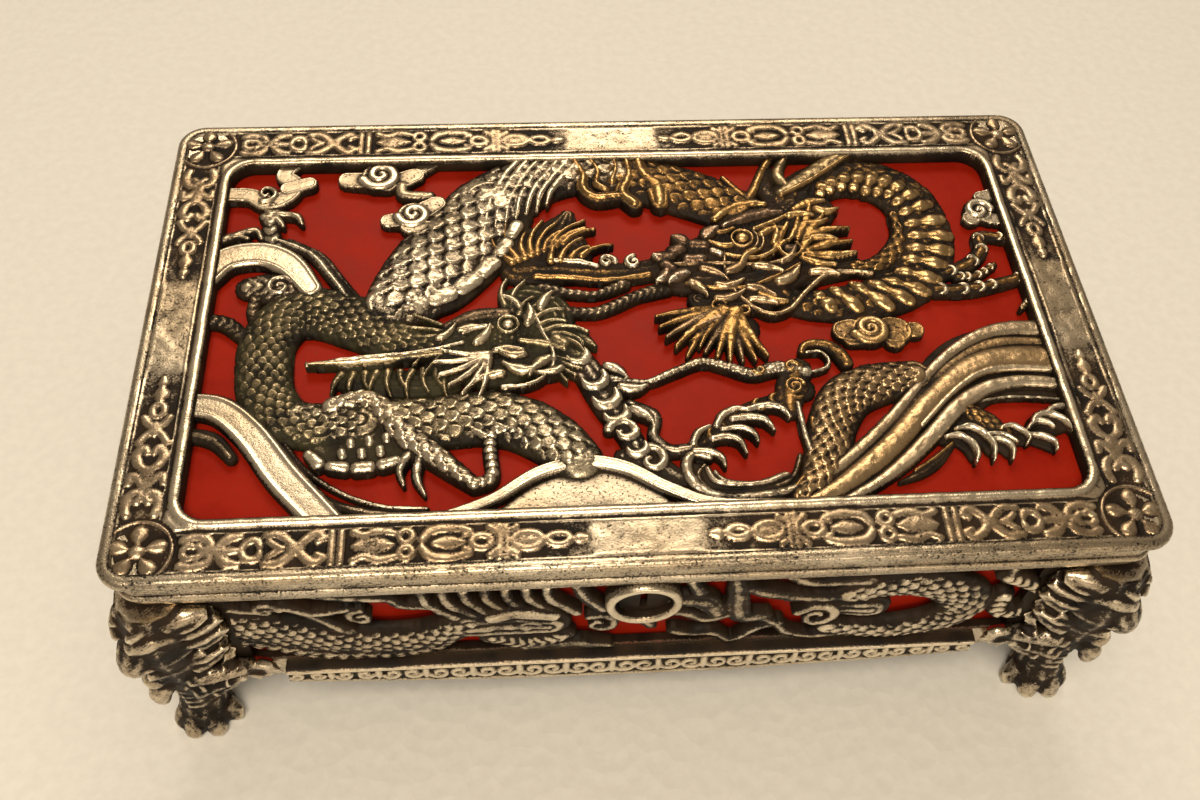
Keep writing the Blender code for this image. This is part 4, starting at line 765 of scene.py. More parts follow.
def lid_foam():
    """The foam of the wave in the middle and the right dragon's front arm in it."""
    trunk = [(-11, -7, 2.6), (-7.8, -13, 3.0), (-5.5, -18, 3.2), (-3.5, -22.5, 2.9),
             (-1.5, -27, 2.3), (0, -31, 2.6)]
    arm = [(31, -17.6, 2.4), (26, -20, 1.9), (21, -21.8, 1.8), (17, -24.4, 1.9), (13, -27.6, 1.7),
           (9, -30.5, 1.5)]
    entries = [
        (grooves(3, 0.25), SILVER, 0.6, 1.1, trunk),
        *crescents(trunk, 6, 1.2, SILVER, 0.72),
        (None, SILVER, 1.2, 1.0, coil(-2.6, -26.3, 2.8, 1.1, 160, -1.0)),
        (None, SILVER, 1.1, 1.0, coil(1.8, -32.2, 2.8, 1.1, 90, -0.9)),
        *commas(((-4.6, -11.4, -20, 4.6, 1.3), (-2.4, -16.4, -24, 4.8, 1.4), (-0.6, -21.4, -20, 4.4, 1.3)),
                SILVER, 1.0, 1.2),
        (grooves(2, 0.3), SILVER, 0.5, 0.9,
         [(-3, -31, 1.8), (2, -32.5, 2.4), (5.5, -35, 1.9), (9, -36, 1.9)]),
        (grooves(2, 0.2), SILVER, 0.8, 1.0,
         [(-1, -20, 1.2), (3.2, -22.8, 1.2), (2.6, -27, 1.1), (5, -30, 1.4), (10, -29.8, 1.2)]),
        (pebbles(0.8, 0.1), SILVER, 0.9, 1.0,
         [(-4, -14.5, 1.1), (2, -15.4, 0.9), (8, -13, 1.0), (13, -11, 1.1), (17, -12, 1.3),
          (22, -14, 1.4), (27, -12.8, 1.6), (32, -14, 1.5)]),
        (None, GOLD, 1.2, 1.0, coil(23.4, -13.4, 1.2, 0.6, 200, 0.9)),
        (None, GOLD, 1.2, 1.0, coil(29.4, -13.2, 1.4, 0.7, 30, 0.9)),
        (grooves(2, 0.3), GOLD, 0.5, 1.0, arm),
        *crescents(arm, 7, 0.9, GOLD, 0.7),
        (grooves(2, 0.3), GOLD, 0.6, 1.2, [(28, -22, 2), (29, -17, 3), (31, -13, 2.4)]),
        (None, GOLD, 1.1, 1.0, coil(29.4, -17.4, 1.9, 0.55, 20, 1.6)),
        (None, GOLD, 0.9, 1.1,
         [(40, -12.2, 1.4), (38.4, -9, 1.5), (35.4, -7.5, 1.1), (32.8, -7.9, 0.9), (31.9, -9.4, 0.7)]),
        (None, SILVER, 0.8, 1.0,
         [(32.8, -9.6, 0.4), (35.4, -9.5, 0.45), (36.7, -11.3, 0.5), (36, -13.2, 0.45),
          (33, -14.2, 0.45), (30, -14.6, 0.4)]),
    ]
    return entries + alike(
        None, SILVER, 1.1, 1.1,
        [(17, -24.2, 0.8), (20, -23.8, 1.0), (22.8, -24.6, 0.9), (24.2, -26.8, 0.35)],
        [(20, -22.2, 0.8), (23.4, -21.4, 1.0), (26, -22, 0.9), (27.4, -24, 0.35)],
        [(13, -28.2, 0.8), (15.8, -27.9, 1.0), (17.8, -29, 0.8), (18.6, -31.4, 0.35)],
        [(15, -26.4, 0.7), (18.4, -26.2, 0.9), (20.4, -27.4, 0.8), (21, -29.2, 0.3)],
        [(9.5, -30.6, 0.7), (12, -30.8, 0.9), (14, -32, 0.8), (14.6, -34, 0.35)],
        [(14, -25.5, 0.8), (15.4, -23.2, 0.9), (18, -22, 0.8), (20, -22.4, 0.35)],
        [(9.5, -29, 0.8), (10.6, -26.8, 0.8), (12.8, -25.6, 0.35)])


def cloud(x, y, radius, start, turns, lobes, tone):
    """A flat plate of round lobes with a raised spiral band and a raised edge on it."""
    plate = flat_top(6, rims(0.22, 0.86, 0.08))
    entries = [(plate, tone, 0.6, 1.0, [(x - 0.1, y, radius), (x + 0.1, y, radius)])]
    for points in lobes:
        entries.append((plate, tone, 0.6, 1.0, points))
    entries.append((flat_top(), tone, 1.0, 1.2,
                    coil(x, y, 0.92 * radius, 0.3 * radius, start, turns, 16, 0.1)))
    return entries


def lid_clouds():
    """The flat clouds with raised spirals, and the sprays between them."""
    band = flat_top(4, rims(0.25, 0.8, 0.12))
    return [
        (band, CLEAN, 0.7, 1.1,
         [(-80, 34.3, 1.8), (-74, 34, 2.0), (-70.5, 31.8, 2.0), (-66.5, 33.5, 2.0),
          (-65.3, 37, 2.0), (-67.5, 39.5, 1.9), (-65.5, 43, 1.8)]),
        (band, CLEAN, 0.8, 1.1, [(-66.5, 35.5, 1.8), (-62.3, 37, 1.7)]),
        (None, SILVER, 1.2, 1.1, coil(-70.6, 34.2, 2.2, 0.8, 250, 1.2)),
        (curls(2.4, 0.4), SILVER, 0.6, 1.2, [(-69, 31, 2.2), (-69.3, 26, 1.7), (-68, 20, 2.2)]),
        (None, SILVER, 0.9, 1.0, [(-70.5, 28, 1.2), (-68, 27.3, 1.1), (-66.6, 25.4, 0.5)]),
        (None, SILVER, 0.9, 1.0, [(-68, 28.8, 1.0), (-64.5, 28.3, 1.0), (-63, 26, 0.5)]),
        (None, SILVER, 0.8, 1.0, [(-80, 21, 1.1), (-76, 23.2, 1.2), (-73.2, 22.4, 0.6)]),
        (None, SILVER, 0.8, 1.0, [(-75, 23.6, 1.1), (-72, 24.6, 1.0), (-70.6, 22.4, 0.6)]),
        *cloud(-48, 39, 4.0, 200, 1.6,
               ([(-54.6, 38, 2.1), (-50, 37.6, 2.4)], [(-43.6, 37.6, 2.4), (-41, 39, 2.0)],
                [(-39.5, 40.8, 1.5), (-37, 43, 1.5)], [(-47, 36.4, 2.0), (-46.6, 36.4, 2.0)]), CLEAN),
        (None, SILVER, 0.8, 1.1, [(-43.5, 36, 1.6), (-43, 33.6, 1.5), (-38, 33, 1.4)]),
        *cloud(-41, 27.8, 3.4, 190, 1.5,
               ([(-46, 26.3, 1.7), (-43.4, 26.6, 2.2)], [(-38.6, 29.2, 2.4), (-36.5, 30.8, 2.0)]), CLEAN),
        (band, CLEAN, 0.8, 1.0, [(-42, 24.5, 1.7), (-36.5, 24.2, 1.8), (-33, 26, 1.7)]),
        *cloud(74.4, 25.6, 3.0, 10, 1.3,
               ([(76, 29.4, 1.7), (80, 30.6, 1.5)], [(72.4, 23.6, 1.8), (72.6, 23.6, 1.8)],
                [(76, 23.6, 1.5), (80, 22.8, 1.3)]), CLEAN),
        *cloud(46, -4.5, 3.5, 200, 1.9,
               ([(41, -4.6, 2.4), (42.4, -4.7, 2.9)], [(50.2, -4.8, 3.3), (51, -4.9, 3.1)],
                [(54.3, -4.9, 1.9), (54.5, -4.9, 1.9)], [(50.1, -7.2, 2.0), (50.3, -7.2, 2.0)],
                [(42, -6.6, 1.7), (44.6, -6.8, 1.5)]), BRIGHT_GOLD),
    ]


def neck_plates():
    """The broad belly plates across the right dragon's ring-shaped neck: bars with a round knob
    at each end, set between an inner and an outer guide line."""
    inner = smooth_run([(37, 4.6, 0), (44.5, 6.9, 0), (51.5, 7.6, 0), (56.2, 13, 0), (58.4, 19, 0),
                        (58, 25.2, 0), (56, 30.2, 0), (51.5, 31, 0), (46.8, 32.4, 0), (42, 30.5, 0)])
    outer = smooth_run([(39.6, 0.8, 0), (51, 0.6, 0), (59, 4, 0), (64, 11, 0), (66.8, 18.6, 0),
                        (64.5, 27.8, 0), (59.8, 33.6, 0), (54.6, 36.5, 0), (48.5, 36.5, 0), (43.5, 34.2, 0)])
    count = 19
    entries = []
    for index in range(count):
        place = index / (count - 1) * (len(inner) - 1)
        low = int(min(place, len(inner) - 2))
        share = place - low
        start = [a + share * (b - a) for a, b in zip(inner[low], inner[low + 1])]
        end = [a + share * (b - a) for a, b in zip(outer[low], outer[low + 1])]
        line = [(start[0] + t * (end[0] - start[0]), start[1] + t * (end[1] - start[1]), width, extra)
                for t, width, extra in ((0.02, 0.9, -0.5), (0.18, 1.25, 0.0), (0.42, 1.0, -0.25),
                                        (0.72, 1.62, 0.1), (0.95, 1.5, -0.3))]
        entries.append((flat_top(2.5), (0.9, 0.15, -0.2), 1.15, 1.25, line))
    return entries


def right_neck():
    """The ring-shaped neck: scales, the belly plates over them and a row of scales inside."""
    neck = [(35, 30, 4.6), (41.5, 34.6, 5), (48, 36.8, 5.4), (55, 35.2, 5.7), (60.3, 30, 6),
            (62, 22, 6), (60.8, 14, 5.8), (56.5, 7.7, 5.4), (50, 4, 5), (43, 2.6, 4.4),
            (36, 2.5, 3.6), (30, 4, 3)]
    return [
        (scales(2.8, 0.5), GOLD, 0.4, 1.15, neck),
        *neck_plates(),
        (scales(2.2, 0.5), GOLD, 0.5, 1.2,
         [(56.5, 25, 1.2), (56.5, 20, 1.6), (54.5, 15, 2.4), (50.5, 12, 2.2), (46, 11.5, 1.6)]),
    ]


def right_head():
    """The right dragon's head: its low forms, then brows, eyes, mouth, horn and snout over them."""
    carved = grooves(5, 0.4)
    entries = [
        (carved, BROWN, 0.4, 0.9, [(46, 12, 2.6), (40, 11, 3.0), (34, 10, 3.4)]),
        (pebbles(1.1, 0.25), BROWN, 0.9, 1.0,
         [(40, 27, 4.8), (33, 24, 6.2), (26, 19.8, 5.8), (19, 17, 4.4), (13, 16, 3.2)]),
        (carved, BROWN, 0.7, 1.1,
         [(38, 14, 3.6), (31, 9.8, 4.4), (24, 8, 4.4), (17, 9, 4.0), (10.5, 8.8, 2.8)]),
        (carved, BROWN, 0.6, 1.1, [(14, 4, 2.2), (20, 2.4, 2.8), (27, 3.6, 2.8)]),
        (None, ORANGE, 1.8, 0.8, [(19.5, 24.4, 0.9), (22.4, 26.8, 1.1), (26, 28.3, 1.2), (30, 28.2, 0.8)]),
        (None, SLATE, 1.9, 0.9, [(21, 22, 0.8), (24, 23.5, 1.4), (28.5, 25.2, 1.7), (33, 25.6, 0.9)]),
        (None, ORANGE, 1.9, 0.8, [(27, 21.2, 0.5), (30.6, 22.8, 0.7), (34.2, 24.8, 0.5)]),
        (None, GOLD, 1.9, 0.7, [(18.4, 20.6, 0.6), (21, 20.8, 0.7), (23, 21.6, 0.5)]),
        (None, ORANGE, 2.1, 0.9, [(24.2, 18.8, 1.2), (24.4, 18.8, 1.2)]),
        (None, GOLD, 1.8, 0.8, coil(24.3, 18.8, 2.1, 0.42, 0, 0.98, 14, 1.0)),
        (None, SLATE, 1.8, 0.8, [(33.2, 15.9, 1.2), (34.0, 15.9, 1.2)]),
        (None, ORANGE, 1.8, 0.8, coil(33.6, 15.9, 2.1, 0.45, 120, 0.8, 12, 1.0)),
        (None, GOLD, 1.8, 0.8,
         [(20.6, 14.8, 0.4), (24, 13.7, 0.5), (28, 14.0, 0.55), (31, 16, 0.55), (33.6, 18.4, 0.5)]),
        (None, BROWN, 1.6, 0.8,
         [(10, 12.4, 0.6), (16, 12.6, 0.7), (22, 12.2, 0.6), (28, 12, 0.6), (33, 13.4, 0.5)]),
        (None, GOLD, 1.5, 0.8,
         [(12, 7.6, 0.5), (18, 6.2, 0.6), (24, 6.4, 0.6), (30, 9, 0.55), (35, 12, 0.4)]),
        (None, GREEN_GOLD, 1.3, 1.3,
         [(34, 31.6, 1.1), (38.6, 34.6, 2.0), (43.6, 38.4, 2.2), (48, 41.6, 1.8), (52, 44, 1.2)]),
        (None, GOLD, 1.9, 0.8, [(34, 30.8, 0.5), (40, 34.2, 0.6), (46, 38.8, 0.6), (51.5, 43, 0.5)]),
        (None, GREEN_GOLD, 1.2, 1.2,
         [(35.4, 33.6, 1.0), (34.2, 37, 1.4), (36, 41, 0.9), (38.4, 43, 0.6)]),
        (None, ORANGE, 1.0, 1.1, [(27, 30, 1.2), (24.5, 33.4, 1.0), (22.6, 36.4, 0.6)]),
        (None, ORANGE, 1.0, 1.1, [(27, 30, 1.2), (29, 33.6, 1.1), (31, 38, 1.0), (34, 43, 1.0)]),
        (None, BROWN, 0.6, 1.0, [(32, 31, 2), (31, 35, 2), (32, 39, 1.6)]),
        (None, (0.6, 0.0, 0.3), 1.6, 0.7,
         [(20.4, 15.4, 0.45), (20, 9, 0.5), (22.6, 3.2, 0.55), (27, -0.4, 0.6), (31, 0.4, 0.6),
          (34.6, 4.4, 0.6), (38.6, 8.2, 0.55), (43, 9.8, 0.5), (49, 9.2, 0.4)]),
    ]
    for reach in (3.2, 4.3):
        arc = [(24.3 + reach * math.cos(turn), 18.8 + reach * math.sin(turn), 0.34)
               for turn in (math.radians(step) for step in (-75, -45, -15, 15, 40))]
        entries.append((None, BROWN, 1.7, 0.7, arc))
    return entries + alike(
        None, SLATE, 1.7, 1.2,
        [(10.2, 15.6, 1.7), (11.6, 16.4, 1.7)],
        [(14.2, 17.4, 1.5), (16.6, 17.2, 1.4)],
        [(13, 13.6, 1.4), (15.6, 13.6, 1.4)],
        [(8.4, 12.4, 1.3), (9.4, 11.2, 1.3)],
        [(18, 15.6, 1.0), (19.4, 14.8, 0.9)])


def right_curls():
    """Short curls that fill the right dragon's head, and the spikes behind its jaw."""
    entries = []
    entries += commas(((9.5, 14.5, 200, 3.4, 1.9), (12.5, 17.8, 120, 2.6, 1.8), (17, 19.5, 60, 3.4, 1.7),
                       (12, 10, 190, 4.2, 1.7), (8.5, 10.5, 250, 3.4, 1.5)), SLATE, 1.6, 1.3)
    entries += commas(((15.5, 11.4, -10, 5.2, 1.3), (20.5, 10.4, 15, 5.6, 1.4), (26, 11.4, 5, 5.6, 1.3),
                       (31.5, 12.6, 25, 5.4, 1.2), (37, 9.8, 10, 5.4, 1.3), (30, 7.4, 12, 6.0, 1.4),
                       (24, 6.2, -5, 5.6, 1.4), (18, 7.0, -15, 5.4, 1.4), (13, 7.6, -30, 4.4, 1.3),
                       (17.5, 3.6, -8, 6.0, 1.3), (24, 3.0, 8, 5.2, 1.2)), BROWN, 1.3, 1.3)
    entries += commas(((28.4, 20, 40, 4.6, 1.2), (30.6, 17.6, 55, 4.6, 1.1), (34.6, 24.6, 20, 5.0, 1.3),
                       (37.6, 22.6, -15, 4.8, 1.3), (38.4, 18.6, 12, 5.2, 1.3), (40.5, 26.4, -30, 4.4, 1.2),
                       (22, 17.2, 190, 4.6, 1.0), (26.6, 15.6, 200, 5.2, 1.0)), ORANGE, 1.5, 1.2)
    for points in (
            [(30, 15, 0.4), (32, 19, 0.7), (34, 22.6, 0.35)],
            [(33.6, 18, 0.4), (35.6, 21, 0.7), (36.6, 25, 0.3)],
            [(36, 15.4, 0.6), (38, 18.6, 0.9), (41.4, 20.6, 0.8), (46.3, 21, 0.3)],
            [(36.4, 17, 0.6), (38.6, 20.8, 0.9), (41.6, 24.6, 0.3)],
            [(35.6, 18.6, 0.6), (37.8, 23.2, 0.8), (39.4, 27.4, 0.3)],
            [(37, 15.2, 0.6), (41.4, 16.8, 0.9), (46.2, 17.4, 0.3)],
            [(36, 14.2, 0.6), (41, 14, 0.9), (46.6, 14.4, 0.3)],
            [(35.6, 13.4, 0.5), (38.6, 11.8, 0.8), (42, 11.4, 0.3)],
            [(36, 26.4, 0.6), (39.4, 28.4, 0.9), (42.6, 28.8, 0.3)],
            [(26, 4.4, 0.6), (29, 2.6, 0.7), (31, 2.4, 0.3)]):
        entries.append((flat_top(2.8), ORANGE, 1.6, 1.0, [(x, y, 1.25 * w) for x, y, w in points]))
    return entries


def right_dragon():
    return [*right_neck(), *right_head(), *right_curls(), *right_dragon_beard()]


def right_dragon_beard():
    """The beard's fan of spikes, and the foam that trails to the left of it."""
    entries = [
        (None, BROWN, 0.4, 0.9, [(12, -3, 2.4), (17, -1.5, 3.2), (22, -3, 3.2)]),
        (grooves(3, 0.35), BROWN, 0.5, 1.1, [(18, 3, 2.6), (21, 0, 2.8)]),
        (None, GOLD, 1.5, 0.8, coil(17.6, 1.6, 1.7, 0.5, 30, 1.2)),
        (None, GOLD, 1.5, 0.8, coil(22.4, 0.8, 1.6, 0.5, 160, 1.2)),
    ]
    spikes = [*tuft(18.5, 0.6, (172, 184, 196, 208, 220), 13, 1.7, 12),
              *tuft(20.6, 0.2, (-132, -120, -108, -96, -84, -72), 11.5, 1.75, 6),
              *tuft(17.4, -1.2, (200, 214, 228), 8, 1.1, 8)]
    for index, spike in enumerate(spikes):
        tone = (GOLD, ORANGE, BROWN)[index % 3]
        entries.append((flat_top(2.8), tone, 0.9 + 0.12 * (index % 4), 1.3, spike))
    entries += [
        (grooves(3, 0.3), GOLD, 0.5, 1.0,
         [(-21, 12.5, 3.0), (-14, 12.5, 3.4), (-8, 12, 2.8), (-3, 11.5, 2.8), (3, 11.8, 2.8), (8, 13, 2.8)]),
        (None, SILVER, 1.2, 1.0, coil(-3, 14, 1.6, 0.7, 0, 1.1)),
        (None, SILVER, 1.2, 1.0, coil(2.2, 13.6, 1.6, 0.7, 90, 1.1)),
        (None, GOLD, 1.0, 0.9, [(-17, 10.8, 0.9), (-10, 10.2, 0.9), (-3, 9.4, 0.8), (5, 10.6, 0.8)]),
        (None, SILVER, 1.1, 0.9, [(-14, 14.6, 0.7), (-9, 14.4, 0.9), (-5, 13, 0.6)]),
    ]
    return entries


def right_dragon_body():
    """The long arched body with its belly plates, the leg at the right, the bands and locks over
    the back, and the fans of hair below it."""
    big = [(24, 28, 6), (16, 32.5, 6.6), (8, 36, 6.5), (0, 38.8, 6), (-9, 39.5, 6.2),
           (-18, 36.8, 7.2), (-25.5, 30.5, 8.6), (-31, 22, 9.6), (-36.5, 14, 9.6), (-41, 8, 8),
           (-45, 4.5, 5.2)]
    entries = [
        (scales(3.4, 0.6), GOLD, 0.5, 1.7, big[:4]),
        (scales(3.4, 0.6), SILVER, 0.5, 1.8, big[3:7]),
        (scales(4.0, 0.75), SILVER, 0.5, 1.8, big[6:]),
        (None, DULL, 0.6, 1.0,
         [(-19.6, 27, 2.6), (-23.4, 19.4, 3.2), (-29, 11.4, 3.2), (-34.5, 5.6, 2.8), (-40, 3.6, 2)]),
        (scales(2.2, 0.5), (0.7, 0, 0.15), 0.5, 1.8,
         [(52, -15.8, 4.0), (45, -16.8, 4.6), (39, -19.6, 4.8), (35.4, -25, 4.6), (33.4, -31, 4.2),
          (30.6, -37, 3.4), (27, -41, 2.4)]),
    ]
    entries += alike(
        flat_top(2.6), SILVER, 1.1, 1.3,
        [(-41.6, 3.6, 1.7), (-38.8, 4.8, 2.0)],
        [(-36.4, 5.4, 2.0), (-33.8, 6.8, 2.2)],
        [(-31.6, 8.2, 2.1), (-29.2, 10.2, 2.2)],
        [(-27.4, 12, 1.9), (-25.4, 14.4, 2.0)],
        [(-24, 16.6, 1.7), (-22.6, 19.2, 1.7)],
        [(-21.6, 21.4, 1.5), (-20.4, 24, 1.5)])
    entries += alike(
        grooves(2, 0.35), GOLD, 1.4, 1.3,
        [(-9, 43, 1.3), (-6.6, 38, 1.5), (-6.6, 33.6, 1.5), (-4, 31, 1.6), (0.5, 31.4, 1.4)],
        [(-5.6, 43, 1.0), (-3.4, 38.6, 1.2), (-3.8, 35, 1.2), (-2, 33.2, 1.0)],
        [(2.5, 43, 1.3), (3, 37, 1.5), (1.3, 32.5, 1.7), (3.6, 29, 1.8)],
        [(0, 43, 1.0), (0.4, 39, 1.1), (-0.6, 35.6, 1.1)],
        [(5, 43, 1.4), (6, 37.5, 2.0), (8.5, 34, 2.6), (8.8, 29.2, 1.9)])
    for index in range(7):
        x = -9.6 - 2.1 * index
        entries.append((None, SILVER, 1.5, 1.1,
                        [(x + 3.4, 43, 0.9), (x, 38.5, 1.0), (x - 3.4, 33.6 - 0.5 * index, 0.9),
                         (x - 4.6, 29.5 - 1.2 * index, 0.35)]))
    entries += alike(
        grooves(4, 0.35), BROWN, 0.5, 1.2,
        [(-23, 17, 4.2), (-17, 18.5, 5.4), (-12.5, 22, 4.2), (-10.2, 27, 1.6)],
        [(-10, 21, 3), (-8, 16.5, 2.4)])
    return entries + alike(
        None, GOLD, 1.0, 1.2,
        *combed((-21.5, 14.5), (-11.5, 19), (150, 134, 118, 104, 92, 82, 74, 66, 58), 8.2, 1.2, -30),
        *combed((-14, 14.5), (-8, 15.5), (96, 80, 66, 52), 6.0, 1.1, -30))


def right_claws():
    """The right dragon's claws over the wave, each on a lower web toned brown as painted shade, and
    the ridged bands at the lid's right end."""
    entries = [
        (None, BROWN, 0.3, 0.7,
         [(57, -27.5, 2.2), (62, -27.6, 2.6), (68, -29.6, 1.6), (73, -28.6, 1.4), (80, -26, 1.4)]),
        (scales(1.8, 0.45), GOLD, 0.5, 1.2, [(60.4, -23.6, 1.8), (63, -26, 2.4), (66, -28.6, 1.6)]),
    ]
    for points in (
            [(54.8, -29.5, 0.35), (57.4, -29.2, 0.75), (59.2, -30.8, 0.8), (59.8, -33, 0.65),
             (59, -35, 0.25)],
            [(57, -27.9, 0.4), (59.8, -27.4, 0.85), (62, -29, 0.85), (63.1, -31.6, 0.7), (62.4, -34.6, 0.25)],
            [(62.6, -30.3, 0.4), (65, -30.5, 0.75), (66.4, -32.2, 0.65), (65.7, -34.7, 0.25)],
            [(62.6, -29.2, 0.4), (65.4, -29.4, 0.7), (67.4, -31, 0.4)],
            [(65.3, -27.9, 0.4), (67.4, -27.5, 0.75), (69.2, -28.7, 0.75), (70, -30.2, 0.5),
             (69.2, -31.4, 0.25)],
            [(70, -29.5, 0.4), (72.4, -29.9, 0.75), (74.3, -31.2, 0.65), (74.2, -32.9, 0.25)],
            [(70.2, -28.2, 0.4), (72, -26.8, 0.7), (74, -27.1, 0.7), (75, -28.2, 0.3)],
            [(71, -27.6, 0.4), (72.4, -25.8, 0.75), (75, -25.1, 0.9), (77.4, -26.6, 0.8), (78.4, -29.4, 0.3)],
            [(74.6, -24.9, 0.5), (76.8, -23.7, 0.8), (80, -23.6, 0.8)]):
        entries.append((None, SILVER, 1.0, 1.3, points))
        # A lower web under each claw, toned brown as painted shade
        entries.append((None, BROWN, 0.2, 0.6, [(x - 0.5, y - 0.6, 1.4 * w) for x, y, w in points[:-1]]))
    for points in (
            [(61, 5, 1.7), (67, 5, 1.7), (72, 5.8, 1.5), (80, 8, 1.3)],
            [(63, 9, 1.6), (69, 11.5, 1.7), (72.4, 15, 1.6), (73.2, 19, 1.4), (80, 17.5, 1.1)],
            [(80, 3, 1.0), (76.5, -0.5, 0.5)],
            [(66, 8, 1.1), (70, 8.4, 1.0), (74, 11, 0.8)]):
        entries.append((grooves(2, 0.25), GOLD, 0.6, 1.1, points))
        entries += crescents(points, 5, 0.9, SILVER, 0.7)
    return entries


def left_body():
    """The left dragon's coiled neck, its body and the arm with its claws."""
    coil_line = [(-56, -23, 4.6), (-62, -21, 4.8), (-66, -16, 5.2), (-67.2, -9, 5.3), (-66.8, -2.5, 5.5),
                 (-63, 2.8, 5.7), (-57, 3.4, 6), (-50, 0.3, 5.8), (-44, -3.6, 4.6), (-38, -6, 3.4),
                 (-33, -6.5, 3)]
    arm = [(-54, -18.8, 2.2), (-48.5, -17.6, 2.4), (-44.5, -20.5, 2.6), (-41, -25, 2.8),
           (-37, -28.8, 2.5), (-33, -32.5, 2.0), (-29, -36, 1.5), (-26, -34.5, 1.4),
           (-26.3, -29, 1.4), (-25.6, -25.3, 1.4), (-21.8, -25.4, 1.1), (-19.6, -28.2, 0.5)]
    return [
        (scales(2.2, 0.55), GREEN, 0.5, 1.7, coil_line),
        (scales(2.3, 0.5), (0, 0.5, 0.1), 0.6, 1.6, [(-60, -20.5, 3.4), (-54, -22, 4.4), (-49, -22, 5)]),
        (grooves(2, 0.3), (0, 0.6, 0.4), 0.5, 1.1, [(-56, -27.5, 2.4), (-50, -27.5, 4.2), (-44, -27, 3.4)]),
        (scales(2.3, 0.5), SILVER, 1.0, 1.5, arm[:7]),
        (curls(1.5, 0.45, 0.3), SILVER, 0.9, 1.5, arm[6:]),
        (None, SILVER, 0.8, 1.3, [(-38.5, -30, 1.2), (-38.9, -34, 1.0), (-37.4, -37.6, 0.35)]),
        (None, SILVER, 0.9, 1.2, [(-40.5, -29.5, 1.2), (-41.8, -32.6, 0.9), (-41, -35.6, 0.35)]),
        (None, SILVER, 1.2, 1.2, [(-27, -26.4, 1.0), (-29.4, -24.6, 0.9), (-30.4, -22.4, 0.5)]),
        (scales(3.0, 0.65), (0, 0.5, 0), 0.5, 1.9,
         [(-43, -21, 4), (-35.5, -22.3, 5.4), (-28, -21.6, 5.8), (-21, -23, 5.8), (-15, -27, 5.4),
          (-11, -31.5, 4.6)]),
    ]


def left_head():
    """The left dragon's head: its low forms, then brows, eye, mouth, curls and jaw over them."""
    carved = grooves(5, 0.45)
    return [
        (carved, GREEN, 0.3, 0.9,
         [(-52, -12.5, 2.4), (-46, -13, 3.2), (-40, -13.6, 3.2), (-34, -13.5, 3)]),
        (pebbles(1.1, 0.22), GREEN, 0.8, 1.1,
         [(-38, -6.5, 2.6), (-31, -4.2, 4.8), (-25, -3.8, 5.2), (-18.5, -4.5, 4.6), (-13, -6.5, 3.4)]),
        (carved, GREEN, 0.6, 1.2, [(-34, -9.5, 2.6), (-27, -11.5, 4.0), (-20, -10, 3.8), (-14, -10, 3.0)]),
        (None, GREEN, 1.6, 1.0, [(-59.4, -9.6, 0.25), (-55, -9.3, 0.8), (-48, -8.8, 1.0), (-40, -8.2, 1.1),
                                 (-35, -7.8, 0.9)]),
        (None, SILVER, 2.0, 0.8, [(-54, -8.9, 0.3), (-46, -8.3, 0.45), (-38, -7.5, 0.4), (-31, -5.6, 0.3)]),
        (None, (0.2, 0.4, 0.9), 1.7, 0.9, [(-34, -1.6, 1.0), (-28.6, 1.0, 1.5), (-23, 1.2, 1.3)]),
        (None, SILVER, 1.9, 0.7, [(-31, -3.4, 0.4), (-27.6, -1.8, 0.5), (-25.6, -2.2, 0.4)]),
        (None, GREEN, 1.8, 0.8, coil(-22.6, -1.6, 1.9, 0.42, 0, 0.98, 12, 1.0)),
        (None, SILVER, 2.1, 0.8, [(-22.7, -1.6, 0.95), (-22.5, -1.6, 0.95)]),
        (None, GREEN, 1.7, 0.9, [(-20.4, -5.4, 0.7), (-16, -6.2, 1.0), (-12.4, -7.8, 0.6)]),
        (None, GREEN, 1.8, 1.0, [(-13.6, -5.4, 1.5), (-12.6, -6.2, 1.5)]),
        *commas(((-20, -8.6, 190, 5.0, 1.4), (-15.4, -9.8, 200, 5.2, 1.5), (-18.6, -12.2, 185, 5.4, 1.4),
                 (-24, -12.8, 175, 5.4, 1.3), (-13.2, -12.0, 215, 4.6, 1.2), (-28.6, -5.6, 30, 4.8, 1.2),
                 (-25, -7.6, 20, 5.2, 1.2), (-19, -1.4, 60, 4.6, 1.3), (-16.4, 2.2, 80, 4.6, 1.3),
                 (-20.4, 2.4, 110, 4.2, 1.2), (-31.6, -2.6, 25, 4.8, 1.2), (-35.6, -4.6, 20, 4.6, 1.1)),
                (0.1, 0.5, 0.1), 1.4, 1.3),
        (carved, GREEN, 0.7, 1.2, [(-21, 5.5, 3.0), (-17.5, 5, 4.0), (-14, 1.5, 3.8), (-13, -4, 3.2)]),
        (None, GREEN, 0.9, 1.2, [(-13, -4, 2.0), (-9, -4.8, 1.4), (-6.6, -6.8, 0.5)]),
        (None, GREEN, 0.9, 1.2, [(-12, -8, 2.0), (-8.4, -9.4, 1.0)]),
        (curls(1.5, 0.3), DULL, 0.6, 1.1,
         [(-14, 2.5, 1.4), (-7, 1.7, 1.3), (-3, 2.8, 1.4), (2, 5.4, 1.4), (8, 7.4, 1.8)]),
        (curls(1.5, 0.3), DULL, 0.7, 1.1, [(-16, 8, 1.4), (-10, 6.4, 1.0), (-5, 6.2, 1.0), (0, 8.6, 1.4)]),
        (None, SILVER, 1.6, 0.9,
         [(-17.6, 1.4, 0.35), (-16.4, -3, 0.5), (-14.4, -8.4, 0.55), (-15.2, -12.6, 0.55),
          (-19, -15.4, 0.5), (-24, -15.8, 0.35)]),
    ]


